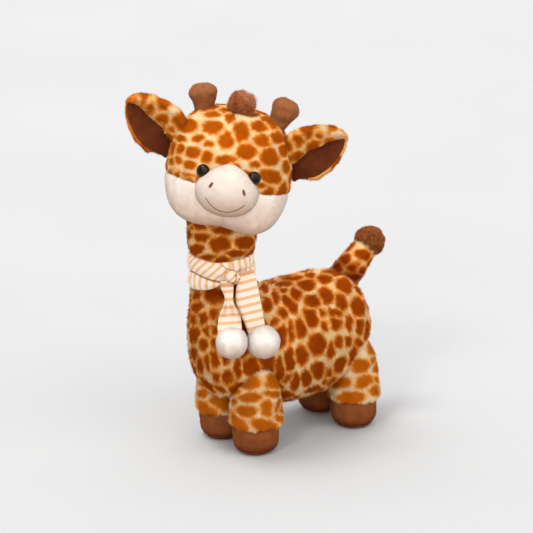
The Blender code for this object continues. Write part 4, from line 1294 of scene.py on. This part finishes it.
def build_scarf():
    knit = knit_material()

    def wrap(s, t):
        """s goes round the neck from the knot and back, t up the band's outside and down inside."""
        angle = KNOT_ANGLE + 360 * s
        front = (angle + 180) % 360 - 180
        knot = at_angle(angle, KNOT_ANGLE, 17)
        top = 0.2182 - 0.0020 * at_angle(angle, 48, 24)
        bottom = 0.1852 - 0.0055 * at_angle(angle, -40, 50) + 0.0100 * at_angle(angle, KNOT_ANGLE, 30)
        fold = 0.1940 + 0.0070 * at_angle(angle, -5, 40) + 0.0010 * at_angle(angle, 48, 25)
        fold = max(fold, bottom + 0.0012)
        edge = top - 0.0125 * float(smoothstep(44, 82, front) * (1 - smoothstep(150, 178, front)))
        if t < 0.62:
            up = 1 - t / 0.62
            height = bottom + (top - bottom) * up
            if height > edge:
                low, high, full = edge - 0.0040, top, 0.0024
            elif height > fold:
                low, high, full = fold, edge, 0.0040
            else:
                low, high, full = bottom, fold, 0.0032
            across = 2 * (height - low) / max(high - low, 0.0005) - 1
            swell_out = max(1 - abs(across) ** 2.8, 0) ** 0.55
            pleat = 0.00032 * math.sin(math.radians(angle * 13) + height * 320) * (0.4 + 1.4 * knot)
            drift = 2 * math.sin(angle * 0.11)
            pleat += 0.00028 * math.sin(math.radians(angle * 29) - height * 500 + drift)
            crease = 0.0007 * at_angle(angle, KNOT_ANGLE, 45) * math.cos(across * 5.5)
            radius = BAND_INSIDE + 0.0016 + (full + pleat + crease) * swell_out
            if up in (0.0, 1.0):
                radius = BAND_INSIDE
        else:
            height = bottom + (top - bottom) * (t - 0.62) / 0.38
            radius = 0.0300
        place = NECK + toward(angle) * radius + Vector((0, 0, height))
        leaning = float(smoothstep(-70, -20, front) * (1 - smoothstep(66, 84, front)))
        slant = (0.5 * (fold + edge) - height) * 0.9 * leaning * (fold < height < edge)
        # Painted shade in the fold, along the top edge's crease, at the bottom and under the knot
        painted_crease_shade = 0.9 * bell(height - fold, 0.0009) * (1 - smoothstep(60, 75, front))
        painted_crease_shade += 0.35 * bell(height - edge, 0.0007) * smoothstep(48, 58, front) * (front < 95)
        painted_crease_shade += 0.5 * bell(height - bottom, 0.0009) + 0.3 * knot * (height < fold)
        return tuple(place), BAND_MIDDLE * 2 * math.pi * s + slant, (top - bottom) * t * 2, painted_crease_shade

    skin, uv, layers = sheet_grid(wrap, 288, 96)
    band = skin_object("scarf_wrap_knit", skin, knit, layers, uv)
    dress(band, "torso", ("scarf_wrap",))
    build_knot(knit)
    build_scarf_end("left", knit)
    build_scarf_end("right", knit)


def build_knot(knit):
    middle = Vector((0.02695, -0.08038, 0.2015)) - RIGHT * 0.0012
    skin = ball((0, 0, 0), (0.0093, 0.0055, 0.0068), 64)
    local = skin.V.copy()
    curl = ((0.0012, -0.0030, 0.0062), (0.0030, -0.0052, 0.0028), (0.0034, -0.0052, -0.0010),
            (0.0022, -0.0044, -0.0042))
    hollow = ((0.0066, -0.0030, 0.0020), (0.0074, -0.0022, -0.0010), (0.0060, -0.0030, -0.0034))
    under = ((-0.0080, -0.0030, -0.0036), (-0.0020, -0.0040, -0.0052), (0.0050, -0.0030, -0.0044))
    folds = ((curl, 0.0009, 0.0013, 0.75), (hollow, 0.0012, 0.0018, 1.0), (under, 0.0009, 0.0010, 0.8))
    # Painted shade in the knot's folds, each as dark as its darkness
    painted_crease_shade = np.zeros(len(skin.V))
    for path, width, depth, darkness in folds:
        painted_crease_shade += darkness * bell(near_path(skin.V, path), width)
        groove(skin, path, width, depth)
    skin.push(0.0003 * waves(local, 0.005, 61))
    lean = Matrix.Rotation(math.radians(26), 4, "Y")
    place = Matrix.Translation(middle) @ Matrix.Rotation(math.radians(66), 4, "Z") @ lean
    skin.move(place)
    fan = local[:, 0] * 1.15 - local[:, 2] * (0.55 + 60 * local[:, 0])
    uv = np.column_stack((fan + 0.0036, local[:, 2]))
    knot = skin_object("scarf_knot_knit", skin, knit, {"painted_shade": np.clip(painted_crease_shade, 0, 1)}, uv)
    dress(knot, "torso", ("scarf_knot",))


def build_scarf_end(hand, knit):
    """A strap along its fall. Each row has its place down the fall, half-width and sideways shift."""
    shapes = {
        "left": (Vector((0.0315, -0.06622, 0.207)), (
            (0.0, 0.0084, -0.0018), (0.12, 0.0100, -0.0024), (0.26, 0.0122, -0.0047),
            (0.41, 0.0130, -0.0057), (0.57, 0.0116, -0.0050), (0.73, 0.0100, -0.0041),
            (1.0, 0.0088, -0.0036))),
        "right": (Vector((0.02581, -0.08522, 0.1895)), (
            (0.0, 0.0068, -0.0018), (0.07, 0.0050, -0.0006), (0.14, 0.0042, 0.0), (0.26, 0.0044, -0.0010),
            (0.33, 0.0066, -0.0010), (0.40, 0.0096, 0.0), (0.50, 0.0114, -0.0004), (0.68, 0.0126, -0.0014),
            (1.0, 0.0130, -0.0010))),
    }
    top, rows = shapes[hand]
    low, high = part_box("pompom_" + hand)
    middle = (low + high) / 2
    fall = middle - top
    way = fall.normalized()
    across = toward(150)
    across = (across - way * across.dot(way)).normalized()
    front = across.cross(way).normalized()
    if front.dot(toward(60)) < 0:
        front = -front
    places, halves, shifts = zip(*rows)
    start = 0.0 if hand == "left" else -0.16

    def strap(s, t):
        """s goes down the strap and t round its flat section."""
        share = start + (0.96 - start) * s
        near = np.clip(share + np.linspace(-0.07, 0.07, 7), 0, 1)
        half = float(np.interp(near, places, halves).mean())
        shift = float(np.interp(near, places, shifts).mean())
        turn = 2 * math.pi * t
        side, out = math.cos(turn), math.sin(turn)
        side = math.copysign(abs(side) ** 0.7, side)
        pinch = bell(share - 0.38, 0.15) if hand == "right" else 0.0
        crease = 0.0009 * math.cos(side * 4.5 + 5 * share + 0.6) * (0.35 + 1.6 * pinch)
        bend = 0.0010 * math.sin(share * 5 + (0.5 if hand == "left" else 2.5))
        thick = 0.0019 + 0.0014 * pinch
        place = top + fall * share + across * (side * half + shift)
        place += front * (out * thick + crease * abs(out) ** 0.5 + bend - 0.0010 * side * side)
        # Painted shade: under the knot, in the pinch's creases and where the right strap passes under the
        # other one, and near the left strap's top and one side
        if hand == "right":
            painted_crease_shade = 0.5 * bell(share + 0.07, 0.03)
            painted_crease_shade += 0.16 * pinch * (1 - math.cos(side * 7 + 3 * share))
            painted_crease_shade += 0.40 * smoothstep(0.45, 0.95, side) * bell(share - 0.42, 0.13)
        else:
            painted_crease_shade = 0.25 * bell(share - 0.02, 0.04) + 0.25 * smoothstep(0.7, 1.0, -side)
        return tuple(place), fall.length * share, side * half, painted_crease_shade

    skin, uv, layers = sheet_grid(strap, 120, 56)
    end = skin_object("scarf_end_%s_knit" % hand, skin, knit, layers, uv)
    dress(end, "scarf_end_" + hand, ("scarf_end_" + hand,))
    knob = ball(middle, (0.0166 if hand == "left" else 0.0160,) * 3, 64)
    knob.push(waves(knob.V, 0.020, 71) * 0.00015)
    pompom = skin_object("pompom_%s_minky" % hand, knob, pompom_cream)
    dress(pompom, "scarf_end_" + hand, ("pompom_" + hand,))
    fuzz = pile("pompom_%s_nap" % hand, knob, 14000, 0.0014, 0.6, DOWN, pompom_pile, 600 + len(hand),
                width=NAP_WIDTH)
    dress(fuzz, "scarf_end_" + hand)


def finish_hidden():
    """The washers behind the face keep their CAD shape and get a moulded plastic."""
    paint = Paint("washer_plastic_moulded")
    paint.bump(paint.noise(2000, 1), 0.1, 0.0001)
    colour = paint.ramp(paint.noise(300), ((0.3, "D8D8D2"), (0.7, "E6E6E0")))
    material = paint.finish(colour, 0.45, specular=0.5)
    for hand in ("left", "right"):
        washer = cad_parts["eye_washer_" + hand]
        washer.data.materials.clear()
        washer.data.materials.append(material)


# Stage


def build_stage():
    paint = Paint("pale_floor")
    colour = paint.ramp(paint.noise(3), ((0.3, "ACACAC"), (0.7, "AFAFAF")))
    material = paint.finish(colour, 0.9, specular=0.1)
    size = 14.0
    points = np.array([(-size, -size, 0), (size, -size, 0), (size, size, 0), (-size, size, 0)], float)
    floor = mesh_object("floor", points, [np.array([[0, 1, 2, 3]])], material)


def sun(name, way, strength, spread):
    """A far light from one direction, as wide as spread in degrees."""
    light = bpy.data.lights.new(name, "SUN")
    light.energy = strength
    light.angle = math.radians(spread)
    obj = bpy.data.objects.new(name, light)
    obj.rotation_euler = Vector(way).to_track_quat("Z", "Y").to_euler()
    bpy.context.scene.collection.objects.link(obj)


def build_light():
    world = bpy.data.worlds.new("studio")
    bpy.context.scene.world = world
    world.use_nodes = True
    surround = world.node_tree.nodes["Background"]
    surround.inputs["Color"].default_value = (1, 1, 1, 1)
    surround.inputs["Strength"].default_value = 1.05
    sun("key", (-0.078, -0.246, 0.966), 1.4, 16)
    sun("fill", RIGHT * 0.45 - UP * 0.12 + CAM, 2.5, 120)
    sun("window", CAM + UP * 0.45 - RIGHT * 0.35, 0.6, 10)
    sun("back", Vector((-CAM.x, -CAM.y, 0.5)), 1.0, 100)
    scene = bpy.context.scene
    scene.view_settings.view_transform = "Standard"
    scene.view_settings.look = "None"


def build_camera():
    camera = bpy.data.cameras.new("camera")
    camera.sensor_width = 36
    camera.lens = 36 * DISTANCE / (PIXELS * PER_PIXEL)
    camera.clip_end = 100
    obj = bpy.data.objects.new("camera", camera)
    obj.matrix_world = Matrix.Translation(EYE) @ Matrix((RIGHT, UP, CAM)).transposed().to_4x4()
    bpy.context.scene.collection.objects.link(obj)
    bpy.context.scene.camera = obj


build_camera()
build_light()
build_stage()
build_torso()
build_legs()
build_neck()
build_head()
build_stitches(build_muzzle())
build_eyes()
build_horns()
build_forelock()
build_ears()
build_tail()
build_scarf()
finish_hidden()
